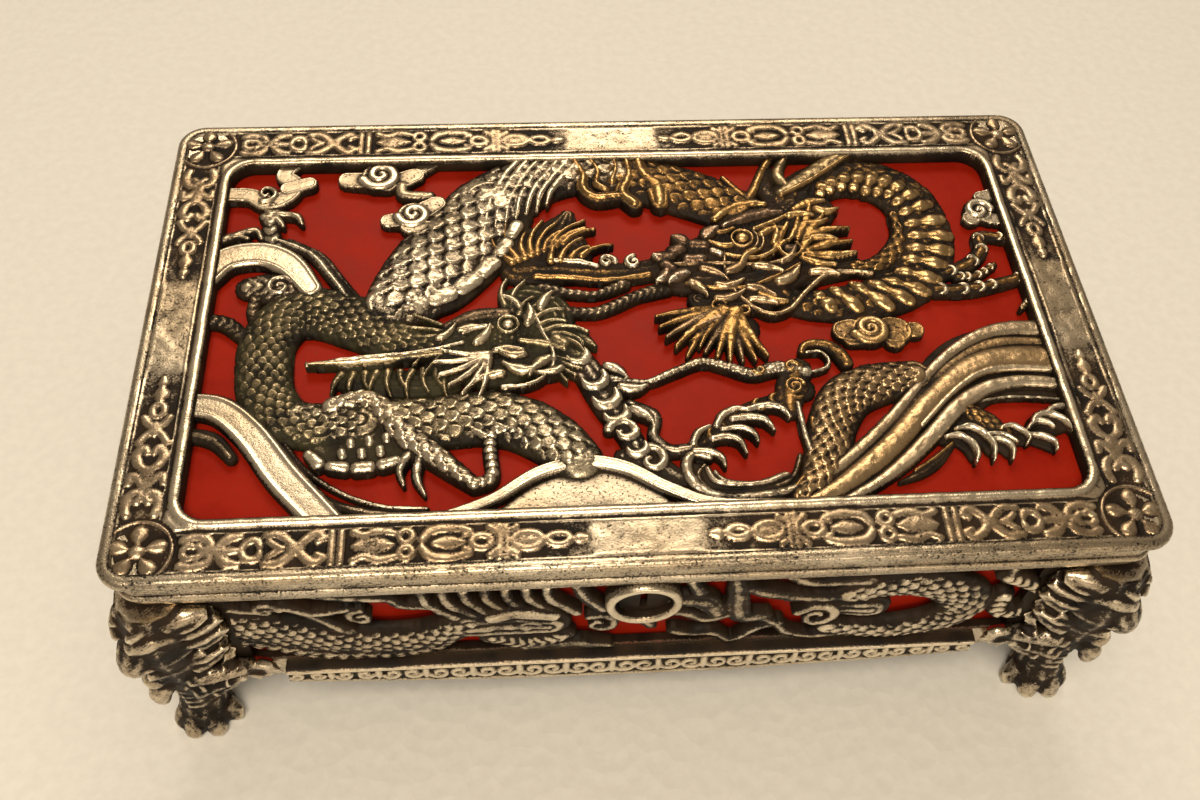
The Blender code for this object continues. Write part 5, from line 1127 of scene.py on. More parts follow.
def left_foam():
    """The spray above the left dragon's coil."""
    return [
        (curls(2.2, 0.4), SILVER, 0.6, 1.0, [(-72, 10, 2.5), (-66, 9.5, 4.2), (-60, 6, 4)]),
        (curls(1.6, 0.3), DULL, 0.6, 1.0, [(-70, 8, 1.4), (-70.5, 4, 1.3), (-69, 0, 1.5)]),
        (curls(1.6, 0.3), DULL, 0.6, 1.0, [(-80, 2.5, 1.6), (-75.5, 1.5, 1.7), (-72, -1.5, 1.6)]),
        (None, SILVER, 1.0, 1.0, coil(-66, 9.6, 2.6, 0.8, 30, 1.3)),
    ]
def left_fringe():
    """The knobs under the left dragon's body and the locks of hair round its head."""
    entries = alike(
        None, SILVER, 0.8, 1.4,
        [(-57.6, -28.6, 1.1), (-55.8, -30.6, 1.5)], [(-53.6, -31.2, 1.4), (-51.4, -31.6, 1.5)],
        [(-49.2, -31.8, 1.5), (-47, -31.6, 1.5)], [(-44.8, -31.2, 1.5), (-42.6, -30.6, 1.4)])
    for x, y in ((-50.6, -26.6), (-47.4, -26.2), (-44.4, -25.8),
                 (-52, -28.8), (-48.6, -28.8), (-45.4, -28.4)):
        entries.append((None, SILVER, 0.9, 1.2, [(x, y + 0.4, 1.0), (x + 0.2, y - 0.5, 1.0)]))
    entries += alike(
        None, SILVER, 1.5, 1.2,
        *tuft(-26.5, -8.5, (-176, -158, -140, -122, -104, -86), 9.8, 1.25, -14))
    entries += alike(
        None, GREEN, 1.4, 1.1,
        *combed((-23, 3), (-13, -5), (122, 104, 88, 74, 60, 44, 28, 12, -6), 6.4, 1.1, -34))
    entries += alike(
        None, GREEN, 1.3, 1.0,
        *tuft(-31, -4, (140, 156, 172, 188, 204, 220), 11, 0.9, 10),
        *tuft(-15, -9, (-80, -62, -44, -26), 6.5, 0.9, 16))
    return entries + alike(
        None, GREEN, 0.7, 1.1,
        *combed((-53, -11.5), (-34, -11), (-128, -112, -98, -120, -104, -92, -116, -100, -88, -110),
                5.4, 1.05, 22))


def left_dragon():
    return [*left_body(), *left_head(), *left_foam(), *left_fringe()]


def stretched(entries, stretch):
    """The entries at the size of their opening: widths grow by the mean of both stretches."""
    scale = math.sqrt(stretch[0] * stretch[1])
    return [(skin, tone, lift, rise,
             [(x * stretch[0], y * stretch[1], w * scale, *extra) for x, y, w, *extra in points])
            for skin, tone, lift, rise, points in entries]


def paint(field, entries, gain=1.0):
    """Paints the entries in their order, all heights times the gain."""
    for skin, tone, lift, rise, points in entries:
        field.stroke(points, lift * gain, rise * gain, skin, tone)


# The openwork, in millimetres: its lap under the frame, the gain on its strokes, its back, and
# how far it stays below the top
OPENWORK_LAP = 0.5
OPENWORK_GAIN = 1.05
OPENWORK_BACK = 0.1
BELOW_TOP = 0.15


def on_plate(points):
    """Places (x, y, height) points over the lid's plate, in metres."""
    return (points + (0, 0, PLATE_BOTTOM)) * MM


def make_openwork(silver):
    """The lid's relief in four overlapping parts on one grid, shaded from the whole of it."""
    reach = (OPENING_HALF[0] + OPENWORK_LAP, OPENING_HALF[1] + OPENWORK_LAP)
    stretch = (2 * OPENING_HALF[0] / DRAWN_OPENING[0], 2 * OPENING_HALF[1] / DRAWN_OPENING[1])
    limit = TOP - PLATE_BOTTOM - BELOW_TOP
    groups = {
        "lid_waves": [*lid_waves(), *lid_foam(), *lid_clouds(), *right_claws()],
        "lid_right_dragon": right_dragon(),
        "lid_right_dragon_body": right_dragon_body(),
        "lid_left_dragon": left_dragon()}
    fields = []
    for entries in groups.values():
        field = Field((-reach[0], -reach[1]), reach, LID_STEP)
        paint(field, stretched(entries, stretch), OPENWORK_GAIN)
        cast_roughness(field, 11, 0.035)
        field.height = np.minimum(field.height, limit)
        fields.append(field)
    whole = Field((-reach[0], -reach[1]), reach, LID_STEP)
    whole.height = np.max([field.height for field in fields], 0)
    whole.inside = np.max([field.inside for field in fields], 0)
    shade = worn_map(whole, limit)
    for name, field in zip(groups, fields):
        piece = field_mesh(name, field, OPENWORK_BACK, on_plate, shade)
        finish_piece(piece, silver, "lid")


# The lid's frame


def edge_distance(x, y, half, corner):
    """Distance inwards from the outline of a rounded rectangle."""
    over_x = np.abs(x) - (half[0] - corner)
    over_y = np.abs(y) - (half[1] - corner)
    outside = np.hypot(np.maximum(over_x, 0), np.maximum(over_y, 0))
    return corner - (outside + np.minimum(np.maximum(over_x, over_y), 0))


def ring_stroke(d, q, rx, ry, width):
    """An oval ring as a closed line."""
    return [(d + rx * math.cos(turn), q + ry * math.sin(turn), width)
            for turn in np.linspace(0, 2 * math.pi, 13)]


def mirrored(lines):
    """The lines and their mirror images across the band's middle."""
    return [*lines, *[[(d, -q, w) for d, q, w in line] for line in lines]]


def long_side_ornament():
    """Scrollwork from a corner towards the middle: (distance from the corner, offset from the
    band's middle, half width)."""
    lines = mirrored([
        [(13.6, 2.3, 0.5), (15.2, 2.8, 0.6), (17.4, 2.3, 0.6), (18.2, 1.0, 0.5), (17.2, 0.3, 0.5),
         (16.2, 1.0, 0.5)],
        [(13.8, 0.5, 0.45), (14.6, 1.2, 0.5), (15.4, 0.9, 0.4)],
        [(19.4, 0.7, 0.5), (21.0, 2.2, 0.7), (22.8, 2.6, 0.45)],
        [(23.2, 0.1, 0.4), (24.0, 1.5, 0.55), (25.6, 1.7, 0.55), (26.2, 0.5, 0.4)],
        [(27.0, 2.6, 0.5), (29.0, 2.7, 0.6), (30.6, 1.6, 0.6), (32.0, 0.0, 0.5)],
        [(32.0, 0.0, 0.5), (33.6, 1.7, 0.6), (35.2, 2.7, 0.6), (36.4, 1.8, 0.5), (35.4, 1.1, 0.4)],
        [(27.6, 1.4, 0.45), (28.8, 0.5, 0.5), (29.8, 0.1, 0.4)],
        [(41.2, 2.6, 0.5), (43.0, 1.9, 0.5), (45.4, 2.7, 0.6), (47.8, 2.2, 0.5)],
        [(52.4, 0.7, 0.5), (53.8, 2.3, 0.65), (57.2, 2.7, 0.65), (60.2, 2.0, 0.5), (59.4, 1.2, 0.4)],
        [(65.2, 1.2, 0.4), (63.6, 2.6, 0.5)],
        [(66.2, 1.2, 0.4), (68.0, 2.6, 0.45)],
    ])
    lines += [
        [(19.2, 0, 0.8), (22.4, 0, 0.5)],
        [(30.9, 0, 0.3), (32.0, 0, 0.95), (33.1, 0, 0.3)],
        [(37.7, -2.8, 0.45), (37.7, 2.8, 0.45)],
        [(39.2, -2.8, 0.45), (39.2, 2.8, 0.45)],
        [(41.2, 0, 0.3), (44.2, 0, 1.3), (47.8, 0, 0.3)],
        [(54.4, 0, 0.4), (56.8, 0, 0.95), (59.2, 0, 0.3)],
        [(65.2, -2.9, 0.5), (65.2, 2.9, 0.5)],
        [(66.4, -2.9, 0.4), (66.4, 2.9, 0.4)],
        ring_stroke(49.8, 1.5, 1.1, 1.1, 0.45),
        ring_stroke(49.8, -1.5, 1.1, 1.1, 0.45),
        ring_stroke(62.2, 0, 1.6, 1.2, 0.5),
        ring_stroke(69.8, 0, 2.4, 1.5, 0.5),
        [(69.0, 0, 0.7), (70.6, 0, 0.7)],
        ring_stroke(75.0, 0, 1.8, 1.0, 0.5),
        [(78.4, 0, 0.7), (79.6, 0, 0.4)],
    ]
    return lines


def short_side_ornament():
    """The same for the short sides."""
    lines = mirrored([
        [(13.4, 2.3, 0.5), (15.0, 2.8, 0.6), (17.0, 2.3, 0.6), (17.8, 1.0, 0.5), (16.8, 0.3, 0.5),
         (15.8, 1.0, 0.5)],
        [(18.6, 0.3, 0.5), (20.2, 1.2, 0.6), (21.0, 2.6, 0.55), (19.4, 2.9, 0.45)],
        [(22.0, 0.2, 0.45), (23.2, 1.7, 0.6), (25.4, 2.3, 0.6), (26.6, 1.1, 0.5), (25.4, 0.6, 0.4)],
        [(27.6, 2.4, 0.5), (29.2, 1.4, 0.5), (30.4, 0.4, 0.5), (32.0, 1.6, 0.5), (33.0, 2.2, 0.4)],
    ])
    lines += [
        [(18.4, 0, 0.5), (21.2, 0, 0.9), (22.4, 0, 0.3)],
        [(29.0, 0, 0.3), (30.4, 0, 0.8), (31.8, 0, 0.3)],
        ring_stroke(34.4, 0, 1.4, 1.0, 0.45),
        [(36.4, 0, 0.3), (37.9, 0, 0.8), (39.4, 0, 0.3)],
        [(40.4, 0, 0.6), (41.6, 0, 0.3)],
    ]
    return lines


# The border's parts, in millimetres from the lid's edge, the opening's edge or the lid's middle
BAND_LOW = 2.6
BAND_HIGH = 9.3
BAND_BLUR = 0.3
BORDER_GROOVES = ((2.3, 0.22, 0.3), (9.7, 0.3, 0.35))
BORDER_BASE = TOP - LIP_RISE - PLATE_BOTTOM
BORDER_BACK = 0.06
GROUND_DEPTH = 0.52
LIP_RADIUS = 0.95
RIM_WIDTH = 0.9
ORNATE_FROM = (10.0, 11.0)
STAINED_FROM = (15.0, 15.5)
ROSETTE_INSET = 6.4
ROSETTE_RADIUS = 6.0
BUTTON_RADIUS = 1.5
ORNAMENT_SWELL = 1.8


def border_strokes():
    """The ornament of all four sides, as lines in the lid's plane."""
    half_x, half_y = LID_HALF
    middle = (BAND_LOW + BAND_HIGH) / 2
    lines = []
    for side_x, side_y in CORNERS:
        for line in long_side_ornament():
            lines.append([(side_x * (half_x - d), side_y * (half_y - middle + q), ORNAMENT_SWELL * w)
                          for d, q, w in line])
        for line in short_side_ornament():
            lines.append([(side_x * (half_x - middle + q), side_y * (half_y - d), ORNAMENT_SWELL * w)
                          for d, q, w in line])
    return lines


def rosette_strokes(x, y):
    """Five petals about (x, y)."""
    lines = []
    for petal in range(5):
        turn = math.radians(90 + 72 * petal)
        cos, sin = math.cos(turn), math.sin(turn)
        lines.append([(x + 1.9 * cos, y + 1.9 * sin, 0.7), (x + 3.3 * cos, y + 3.3 * sin, 1.55),
                      (x + 4.0 * cos, y + 4.0 * sin, 1.3)])
    return lines


def fade_in(distance, start, width):
    """0 well before the start, 1 well past it."""
    return 1 / (1 + np.exp((start - distance) / width))


def border_height(inset, inner, ornate, band):
    """The bare border: an outer rim, two grooves, a band that is sunk where it is ornate, and the
    rounded lip round the opening."""
    ground = BORDER_BASE - 0.1 - (GROUND_DEPTH - 0.1) * ornate
    rim = BORDER_BASE + 0.05
    height = rim + (ground - rim) * band
    for centre, width, depth in BORDER_GROOVES:
        height = height - depth * np.exp(-((inset - centre) / width) ** 2)
    lip = np.sqrt(np.clip(1 - ((inner - LIP_RADIUS) / LIP_RADIUS) ** 2, 0, 1))
    lip_height = (LIP_RISE + 0.33) * lip ** 0.8 * (inner < 2 * LIP_RADIUS)
    return np.maximum(height, BORDER_BASE - 0.35 + lip_height)


def make_border(silver):
    """The lid's border: mouldings, scrollwork away from the middle of each side, corner flowers."""
    half_x, half_y = LID_HALF
    field = Field((-half_x, -half_y), (half_x, half_y), BORDER_STEP)
    x, y = np.meshgrid(field.x, field.y)
    across, along = np.abs(x), np.abs(y)
    inset = edge_distance(x, y, LID_HALF, LID_CORNER)
    inner = -edge_distance(x, y, OPENING_HALF, OPENING_CORNER)
    on_long = (along - half_y) > (across - half_x)
    ornate = np.where(on_long, fade_in(across, ORNATE_FROM[0], 0.8), fade_in(along, ORNATE_FROM[1], 0.8))
    band = np.clip((inset - BAND_LOW) / BAND_BLUR, 0, 1) * np.clip((BAND_HIGH - inset) / BAND_BLUR, 0, 1)
    field.height = border_height(inset, inner, ornate, band)
    stained = np.where(on_long, fade_in(across, STAINED_FROM[0], 3.0), fade_in(along, STAINED_FROM[1], 3.0))
    dull = np.clip((0.25 + 0.75 * band) * stained, 0, 1)
    rubbed = np.where(on_long, 0.42, 0.25) * (1 - dull)
    field.tone = np.stack([0.25 * dull, 0 * dull, 0.42 * dull - rubbed], -1)
    for line in border_strokes():
        field.stroke(line, BORDER_BASE - GROUND_DEPTH, 0.7, flat_top(2.6), (0.3, 0, 0.3))
    for side_x, side_y in CORNERS:
        centre = (side_x * (half_x - ROSETTE_INSET), side_y * (half_y - ROSETTE_INSET))
        add_rosette(field, x, y, centre)
    field.inside = np.minimum(inset - RIM_WIDTH, inner)
    cast_roughness(field, 3, 0.022)
    field.height = np.minimum(field.height, TOP - PLATE_BOTTOM)
    piece = field_mesh("lid_border", field, BORDER_BACK, on_plate)
    finish_piece(piece, silver, "lid")


def add_rosette(field, x, y, centre):
    """A corner flower: a dish with a rim and a beaded ring, petals and a cross-hatched button."""
    base = BORDER_BASE
    reach = np.hypot(x - centre[0], y - centre[1])
    disc = reach < ROSETTE_RADIUS + 0.4
    dish = np.full(reach.shape, base - 0.55)
    ring = np.exp(-((reach - ROSETTE_RADIUS + 0.35) / 0.38) ** 2)
    turn = np.arctan2(y - centre[1], x - centre[0])
    beads = 0.75 + 0.25 * np.cos(turn * 30)
    inner_ring = np.exp(-((reach - ROSETTE_RADIUS + 1.15) / 0.22) ** 2)
    dish = dish + 0.62 * ring + 0.3 * inner_ring * beads
    field.height[disc] = dish[disc]
    field.tone[disc] = (0.3, 0, 0.6)
    for line in rosette_strokes(*centre):
        field.stroke(line, base - 0.6, 0.75, None, (0.35, 0.0, 0.45))
    button = np.sqrt(np.clip(1 - (reach / BUTTON_RADIUS) ** 2, 0, 1))
    hatch = 0.08 * np.sin(x * 9) * np.sin(y * 9)
    height = base - 0.35 + 0.7 * button + hatch
    higher = (reach < BUTTON_RADIUS) & (height > field.height)
    field.height[higher] = height[higher]


# Points along each rounded corner of a moulding
CORNER_POINTS = 14


def rounded_rectangle(half, corner, height):
    """Points round a rectangle with rounded corners, anticlockwise from the right side."""
    points = []
    for turn, (side_x, side_y) in enumerate(((1, 1), (-1, 1), (-1, -1), (1, -1))):
        centre = (side_x * (half[0] - corner), side_y * (half[1] - corner))
        for step in range(CORNER_POINTS):
            angle = (turn + step / (CORNER_POINTS - 1)) * math.pi / 2
            points.append((centre[0] + corner * math.cos(angle),
                           centre[1] + corner * math.sin(angle), height))
    return points


def bead(inset, low, high, reach, steps=6):
    """Part of a profile: a half-round bead that stands out by reach, from high down to low."""
    points = []
    for step in range(steps + 1):
        turn = math.pi * step / steps
        points.append((inset - reach * math.sin(turn), (high + low) / 2 + (high - low) / 2 * math.cos(turn)))
    return points


def moulding(name, profile):
    """A ring lofted round the box from (inset, height) points, with wear along its edges."""
    loops = []
    for inset, height in profile:
        corner = max(LID_CORNER - inset, 0.6)
        loops.append(rounded_rectangle((LID_HALF[0] - inset, LID_HALF[1] - inset), corner, height))
    count = len(loops[0])
    points = np.array(loops).reshape(-1, 3)
    rows = len(loops)
    faces = []
    for row in range(rows):
        after = (row + 1) % rows
        for column in range(count):
            following = (column + 1) % count
            faces.append((row * count + column, row * count + following,
                          after * count + following, after * count + column))
    insets = np.array([inset for inset, _ in profile])
    stands_out = np.roll(insets, 1) + np.roll(insets, -1) - 2 * insets
    wear = np.clip(0.62 + 0.5 * stands_out, 0.1, 0.95)
    colour = np.repeat(np.stack([wear, wear, 0 * wear, 0 * wear], -1), count, 0)
    tone = np.zeros((len(points), 4))
    tone[:, 3] = 1
    piece = quad_mesh(name, points * MM, np.array(faces), colour, tone)
    face_outwards(piece)
    piece.data.set_sharp_from_angle(angle=math.radians(50))
    return piece


def make_lid_edge(silver):
    """The lid's rounded edge, skirt and underside."""
    edge_low = 61.2
    inner = BORDER_WIDTH - 0.5
    rim = bead(1.1, edge_low, TOP - 0.42, 1.1, 10)
    foot_bead = bead(SKIRT_INSET, SKIRT_BOTTOM + 0.1, 56.6, 0.55)
    profile = [
        (3.6, SKIRT_BOTTOM), (3.6, PLATE_BOTTOM), (inner, PLATE_BOTTOM), (inner, 62.6),
        (2.6, 63.0), (2.2, TOP - LIP_RISE + 0.03), (1.5, TOP - LIP_RISE + 0.06), *rim,
        (SKIRT_INSET, edge_low), (SKIRT_INSET, 60.6), (SKIRT_INSET + 0.25, 60.4), (SKIRT_INSET, 60.2),
        (SKIRT_INSET, 57.0), *foot_bead, (SKIRT_INSET, SKIRT_BOTTOM),
    ]
    piece = moulding("lid_edge", profile)
    finish_piece(piece, silver, "lid")


# The box


def turned(degrees):
    """Places (x, up, out of the wall) points on the wall that the front is turned to."""
    angle = math.radians(degrees)
    cos, sin = math.cos(angle), math.sin(angle)

    def place_at(distance, base):
        def place(points):
            x, up, out = points[:, 0], points[:, 1], points[:, 2]
            y = -(distance + out)
            return np.stack([x * cos - y * sin, x * sin + y * cos, up + base], -1) * MM
        return place
    return place_at

# The scaly body at the left end of the front wall and, with its mirror image, of the back wall
WALL_BODY = [(-75, 17.5, 5), (-71, 15.5, 5.6), (-62, 11, 6), (-52, 7.5, 5.4), (-42, 7.2, 5.1),
             (-35, 10, 4.6), (-31, 14, 4)]


def front_wall():
    """The front's dragon, with clouds and foam to both sides of the lock."""
    scaly = scales(2.5, 0.55)
    entries = [
        (scaly, SILVER, 0.6, 2.0, WALL_BODY),
        (belly(2.6, -1, 0.5, 2.2), SILVER, 0.8, 1.6,
         [(-75, 12, 2.4), (-66, 7, 2.8), (-56, 2.6, 2.8), (-44, 2.6, 2.4), (-36, 5, 2)]),
        (grooves(4, 0.5), SILVER, 0.9, 2.0, [(-31, 12, 5), (-24, 13, 6.2), (-17, 12, 4.4)]),
        (flat_top(), SILVER, 1.9, 1.2, [(-27, 16.5, 1.4), (-22, 18, 1.6), (-16, 16, 1.3)]),
        (flat_top(), SILVER, 2.0, 1.0, coil(-20.6, 12.6, 2.2, 0.8, 0, 1.0)),
        (curls(2.0, 0.5), SILVER, 0.8, 1.6, [(-27, 7, 3), (-20, 4, 3), (-14, 6.5, 2.4)]),
        (flat_top(), SILVER, 1.0, 1.4, [(-21, 2.5, 1.4), (-12, 3, 1.5), (-5.5, 1.4, 1)]),
    ]
    for index in range(7):
        x = -39 + 3.6 * index
        entries.append((flat_top(), SILVER, 1.0, 1.4,
                        [(x, 27.5, 1.0), (x + 1, 22, 1.1), (x + 5.5, 16.5, 1.2)]))
    entries += alike(
        flat_top(3.2, grooves(2, 0.25)), SILVER, 0.8, 1.5,
        [(-12, 27, 1.2), (-10, 21.5, 1.4), (-7, 17, 1.5)],
        [(-4, 17, 1.6), (0, 13.5, 2.1), (2.2, 9, 1.1)],
        [(2, 15, 1.6), (8, 14, 1.6), (12, 11.2, 1.6), (16, 12.5, 1.6)],
        [(6, 19, 2), (11, 18.5, 2.6), (14, 13.5, 2)],
        [(8, 27, 1.2), (10, 22, 1.6)],
        [(16, 27, 1.3), (17, 22, 2), (18.5, 12, 2.4), (23, 11, 1.8)],
        [(19, 22.5, 1.6), (27, 19, 1.8), (35, 18, 1.8), (41, 19, 2.4)],
        [(26, 27, 1.4), (31, 24, 1.4), (40, 24, 2)],
        [(6.5, 6.5, 1.3), (10, 5, 1.3), (14, 5, 1.2), (18, 1.4, 1.1), (22, 6, 1.3), (26, 8, 1.4)],
        [(22, 11, 1.5), (25.5, 8, 1.1), (29, 3.4, 1.1), (35, 1.8, 1.3), (40, 3, 1.8)],
        [(-76, 25, 1.5), (-69, 22, 1.4), (-63, 23, 1.5), (-58, 20, 1.4), (-52, 21.6, 1.3)],
        [(-60, 21, 1.4), (-56, 16, 1.5), (-53, 12, 1.8)],
        [(-57, 27, 1.5), (-50, 25.4, 1.3), (-45, 24.6, 1.3), (-42, 21.5, 1.3), (-37, 21, 1.3)],
        [(66, 27, 1.1), (66, 22, 1.2)])
    entries += [
        (flat_top(), SILVER, 0.9, 1.5, coil(-7.5, 11.3, 3.4, 1.2, 120, -1.1)),
        (flat_top(), SILVER, 1.1, 1.5, coil(33, 10.8, 4.4, 1.3, 150, -1.3)),
        (flat_top(), SILVER, 1.0, 1.4, coil(-66, 22.5, 2.4, 1.0, 0, 1.1)),
        (flat_top(), SILVER, 1.0, 1.4, coil(-50, 18.4, 2.6, 1.0, 90, 1.1)),
        (scaly, SILVER, 0.6, 2.0, [(38, 19, 3.6), (46, 21.4, 4.2), (53, 20.4, 4.8), (59, 16.4, 5.2),
                                   (61, 10.8, 5.2), (57.5, 5.6, 4.6), (50, 3.2, 3.6), (42, 3.6, 3.2),
                                   (36, 5.5, 2.6)]),
        (grooves(4, 0.45), SILVER, 0.7, 1.5, [(36, 13, 3.2), (43, 12, 4)]),
        (curls(2.2, 0.6), SILVER, 0.7, 1.8,
         [(66, 23, 2.3), (70, 20.5, 2.1), (74.5, 16.5, 2.1), (74.5, 11.5, 2.1), (71.5, 8, 2.3),
          (68, 9, 2), (67.5, 15, 2.2)]),
    ]
    return entries


def back_wall():
    """A plainer pair of dragons, mirrored about the middle, with a scroll between them."""
    half = [
        (scales(2.6, 0.5), SILVER, 0.6, 2.0, WALL_BODY),
        (grooves(4, 0.5), SILVER, 0.9, 2.0, [(-31, 12, 5), (-24, 13, 6.2), (-16, 12, 4.2)]),
        (None, SILVER, 2.0, 1.0, coil(-20.6, 12.6, 2.2, 0.8, 0, 1.0)),
        (curls(2.2, 0.4), SILVER, 0.8, 1.5, [(-27, 8, 3), (-19, 5, 2.8), (-13, 7.5, 2.2)]),
        (None, SILVER, 0.8, 1.4, [(-38, 27, 1.3), (-36.5, 22, 1.5), (-31, 17, 1.8)]),
        (None, SILVER, 0.8, 1.4, [(-22, 27, 1.4), (-18.5, 21.5, 1.6), (-14.5, 14, 1.8)]),
        (grooves(2), SILVER, 0.8, 1.4, [(-76, 25, 1.7), (-66, 22, 1.8), (-57, 22, 1.8), (-50, 26, 1.6)]),
        (None, SILVER, 0.8, 1.3, [(-58, 22, 1.6), (-54, 14, 2)]),
        (None, SILVER, 0.9, 1.3, coil(-66, 21.5, 2.4, 1.0, 0, 1.1)),
    ]
    other = [(skin, tone, lift, rise, [(-x, y, w) for x, y, w in points])
             for skin, tone, lift, rise, points in half]
    return [*half, *other,
            (rims(0.3), SILVER, 0.9, 1.4, coil(0, 12, 6, 2.4, 180, 1.3)),
            (None, SILVER, 0.7, 1.2, [(-15, 10, 2), (0, 5, 2.2), (15, 10, 2)]),
            (None, SILVER, 0.7, 1.2, [(-4, 27, 1.8), (-4, 16, 2)])]


def side_wall():
    """A plain dragon along a side wall."""
    return [
        (scales(2.4, 0.5), SILVER, 0.6, 2.0,
         [(-38, 19, 4), (-31, 15, 4.6), (-22, 9.5, 5), (-12, 9, 4.8), (-5, 14.5, 4.6), (2, 20, 4.4),
          (10, 20.5, 4), (15, 16, 3.6)]),
        (grooves(4, 0.5), SILVER, 0.9, 2.0, [(13, 16, 4.4), (20, 12, 5), (26, 9, 3.2)]),
        (None, SILVER, 2.0, 1.0, coil(20.6, 12.8, 1.9, 0.7, 0, 1.0)),
        (grooves(2), SILVER, 0.8, 1.4, [(18, 19, 1.6), (26, 22, 1.6), (33, 27, 1.4)]),
        (grooves(3), SILVER, 0.7, 1.4, [(26, 10, 2.4), (34, 13, 2), (38, 12, 2)]),
        (grooves(2), SILVER, 0.7, 1.4, [(-20, 27, 1.6), (-15, 22, 2), (-8, 17, 2)]),
        (rims(0.4), SILVER, 0.7, 1.2,
         [(-38, 3, 1.6), (-28, 2, 1.8), (-12, 4, 1.8), (4, 2, 1.8), (20, 3.4, 1.8), (38, 2, 1.6)]),
        (None, SILVER, 0.7, 1.3, [(-4, 3, 1.6), (2, 9, 1.8), (9, 14, 2)]),
        (None, SILVER, 0.8, 1.3, coil(-29, 23, 3, 1.5, 220, 1.2)),
    ]


# The wall relief, in millimetres: its lap at the window's edge, how far its back lies behind the
# wall's face, and its lowest and highest form
WALL_LAP = 0.4
RELIEF_DEPTH = 1.3
RELIEF_HEIGHTS = (0.2, 3.15)


def make_walls(silver):
    """The pierced relief of the walls, from its drawn size to that of each window."""
    height = WINDOW_TOP - WINDOW_BOTTOM
    drawings = {"front": (front_wall(), DRAWN_WINDOW[0]), "back": (back_wall(), DRAWN_WINDOW[0]),
                "right": (side_wall(), DRAWN_SIDE_WINDOW), "left": (side_wall(), DRAWN_SIDE_WINDOW)}
    for name, wall_half, distance, degrees, step in WALLS:
        entries, drawn = drawings[name]
        half = wall_half - POST_WIDTH
        field = Field((-half - WALL_LAP, -WALL_LAP), (half + WALL_LAP, height + WALL_LAP), step)
        paint(field, stretched(entries, (2 * half / drawn, height / DRAWN_WINDOW[1])))
        cast_roughness(field, 7, 0.04)
        field.height = np.clip(field.height, *RELIEF_HEIGHTS)
        place = turned(degrees)(distance - RELIEF_DEPTH, WINDOW_BOTTOM)
        piece = field_mesh(f"{name}_relief", field, 0.0, place)
        finish_piece(piece, silver, "box_body")


# The aprons, in millimetres
MIDDLE_DROP = 8.5
END_DROP = 4.7
APRON_LOW = 9.0
APRON_HIGH = 0.9
APRON_GROUND = 1.55
KNOB_GROUND = 1.5
BEAD_GROUND = 1.45
APRON_BACK = 0.8
BEAD_HALF = 0.8
LOW_BEAD_HALF = 0.5
KNOB_PITCH = 9.0


def apron_drop(x, half):
    """How far the apron hangs down: least at its ends."""
    return MIDDLE_DROP + (END_DROP - MIDDLE_DROP) * (x / half) ** 2


def apron_strokes(half):
    """Rounded interlocking cloud knobs along the band, drawn from its upper edge."""
    lines = []
    pitch = KNOB_PITCH
    count = int(half // pitch)
    for index in range(-count, count + 1):
        x = index * pitch
        drop = apron_drop(x, half)
        middle = -0.5 * drop
        size = 0.26 * drop
        between = x + 0.5 * pitch
        lines.append(coil(x - 0.22 * pitch, middle, size, 0.55, 200, 1.2))
        lines.append(coil(x + 0.22 * pitch, middle, size, 0.55, -20, -1.2))
        lines.append([(between, middle + 0.9 * size, 0.5), (between, middle - 0.2 * size, 0.75),
                      (between, middle - 1.0 * size, 0.4)])
    return lines


def make_aprons(silver):
    """The curved apron under each wall, with a bead along both edges and knobs between them."""
    for name, wall_half, distance, degrees, step in WALLS:
        half = wall_half - APRON_END
        field = Field((-half, -APRON_LOW), (half, APRON_HIGH), step)
        x, y = np.meshgrid(field.x, field.y)
        low = y + apron_drop(x, half)
        field.height = APRON_GROUND + 0 * x
        field.tone[...] = (0.0, 0.0, -0.5)
        for line in apron_strokes(half):
            field.stroke(line, KNOB_GROUND, 0.6, flat_top(), (0, 0, -0.4))
        on_top = np.abs(y) < BEAD_HALF
        on_low = low < 2 * LOW_BEAD_HALF
        top_bead = np.sqrt(np.clip(1 - (y / BEAD_HALF) ** 2, 0, 1))
        field.height = np.maximum(field.height, BEAD_GROUND + 1.0 * top_bead * on_top)
        low_bead = np.sqrt(np.clip(1 - ((low - LOW_BEAD_HALF) / LOW_BEAD_HALF) ** 2, 0, 1))
        field.height = np.maximum(field.height, BEAD_GROUND + 0.5 * low_bead * on_low)
        field.tone[on_top | on_low] = SILVER
        field.inside = np.minimum(np.minimum(low, BEAD_HALF - y), half - np.abs(x))
        place = turned(degrees)(distance, APRON_TOP)
        piece = field_mesh(f"{name}_apron", field, -APRON_BACK, place)
        finish_piece(piece, silver, "box_body")


def make_box_shell(silver, shaded_silver):
    """Rim, posts, floor and inner upstand of the box, with the four windows left open."""
    inside = WALL_INSET + WALL_THICKNESS
    profile = [
        (inside, WINDOW_TOP), (inside, FLANGE_TOP), (WALL_INSET, FLANGE_TOP), (WALL_INSET, RIM_TOP),
        (2.2, RIM_TOP), *bead(2.2, 53.1, 54.6, 0.15, 4), (2.6, 53.0), (3.2, 52.9),
        *bead(2.9, 51.4, 52.8, 0.2, 4), (WALL_INSET, NECK_BOTTOM), (WALL_INSET, WINDOW_TOP),
    ]
    finish_piece(moulding("box_rim", profile), silver, "box_body")
    profile = [
        (inside, FLOOR_HEIGHT + FLOOR_THICKNESS), (inside, WINDOW_BOTTOM),
        (WALL_INSET, WINDOW_BOTTOM), (WALL_INSET, FLOOR_HEIGHT),
    ]
    # The plain strip under the windows takes the darker wall finish: painted shade
    finish_piece(moulding("box_foot_wall", profile), shaded_silver, "box_body")
    make_posts_and_floor(silver)


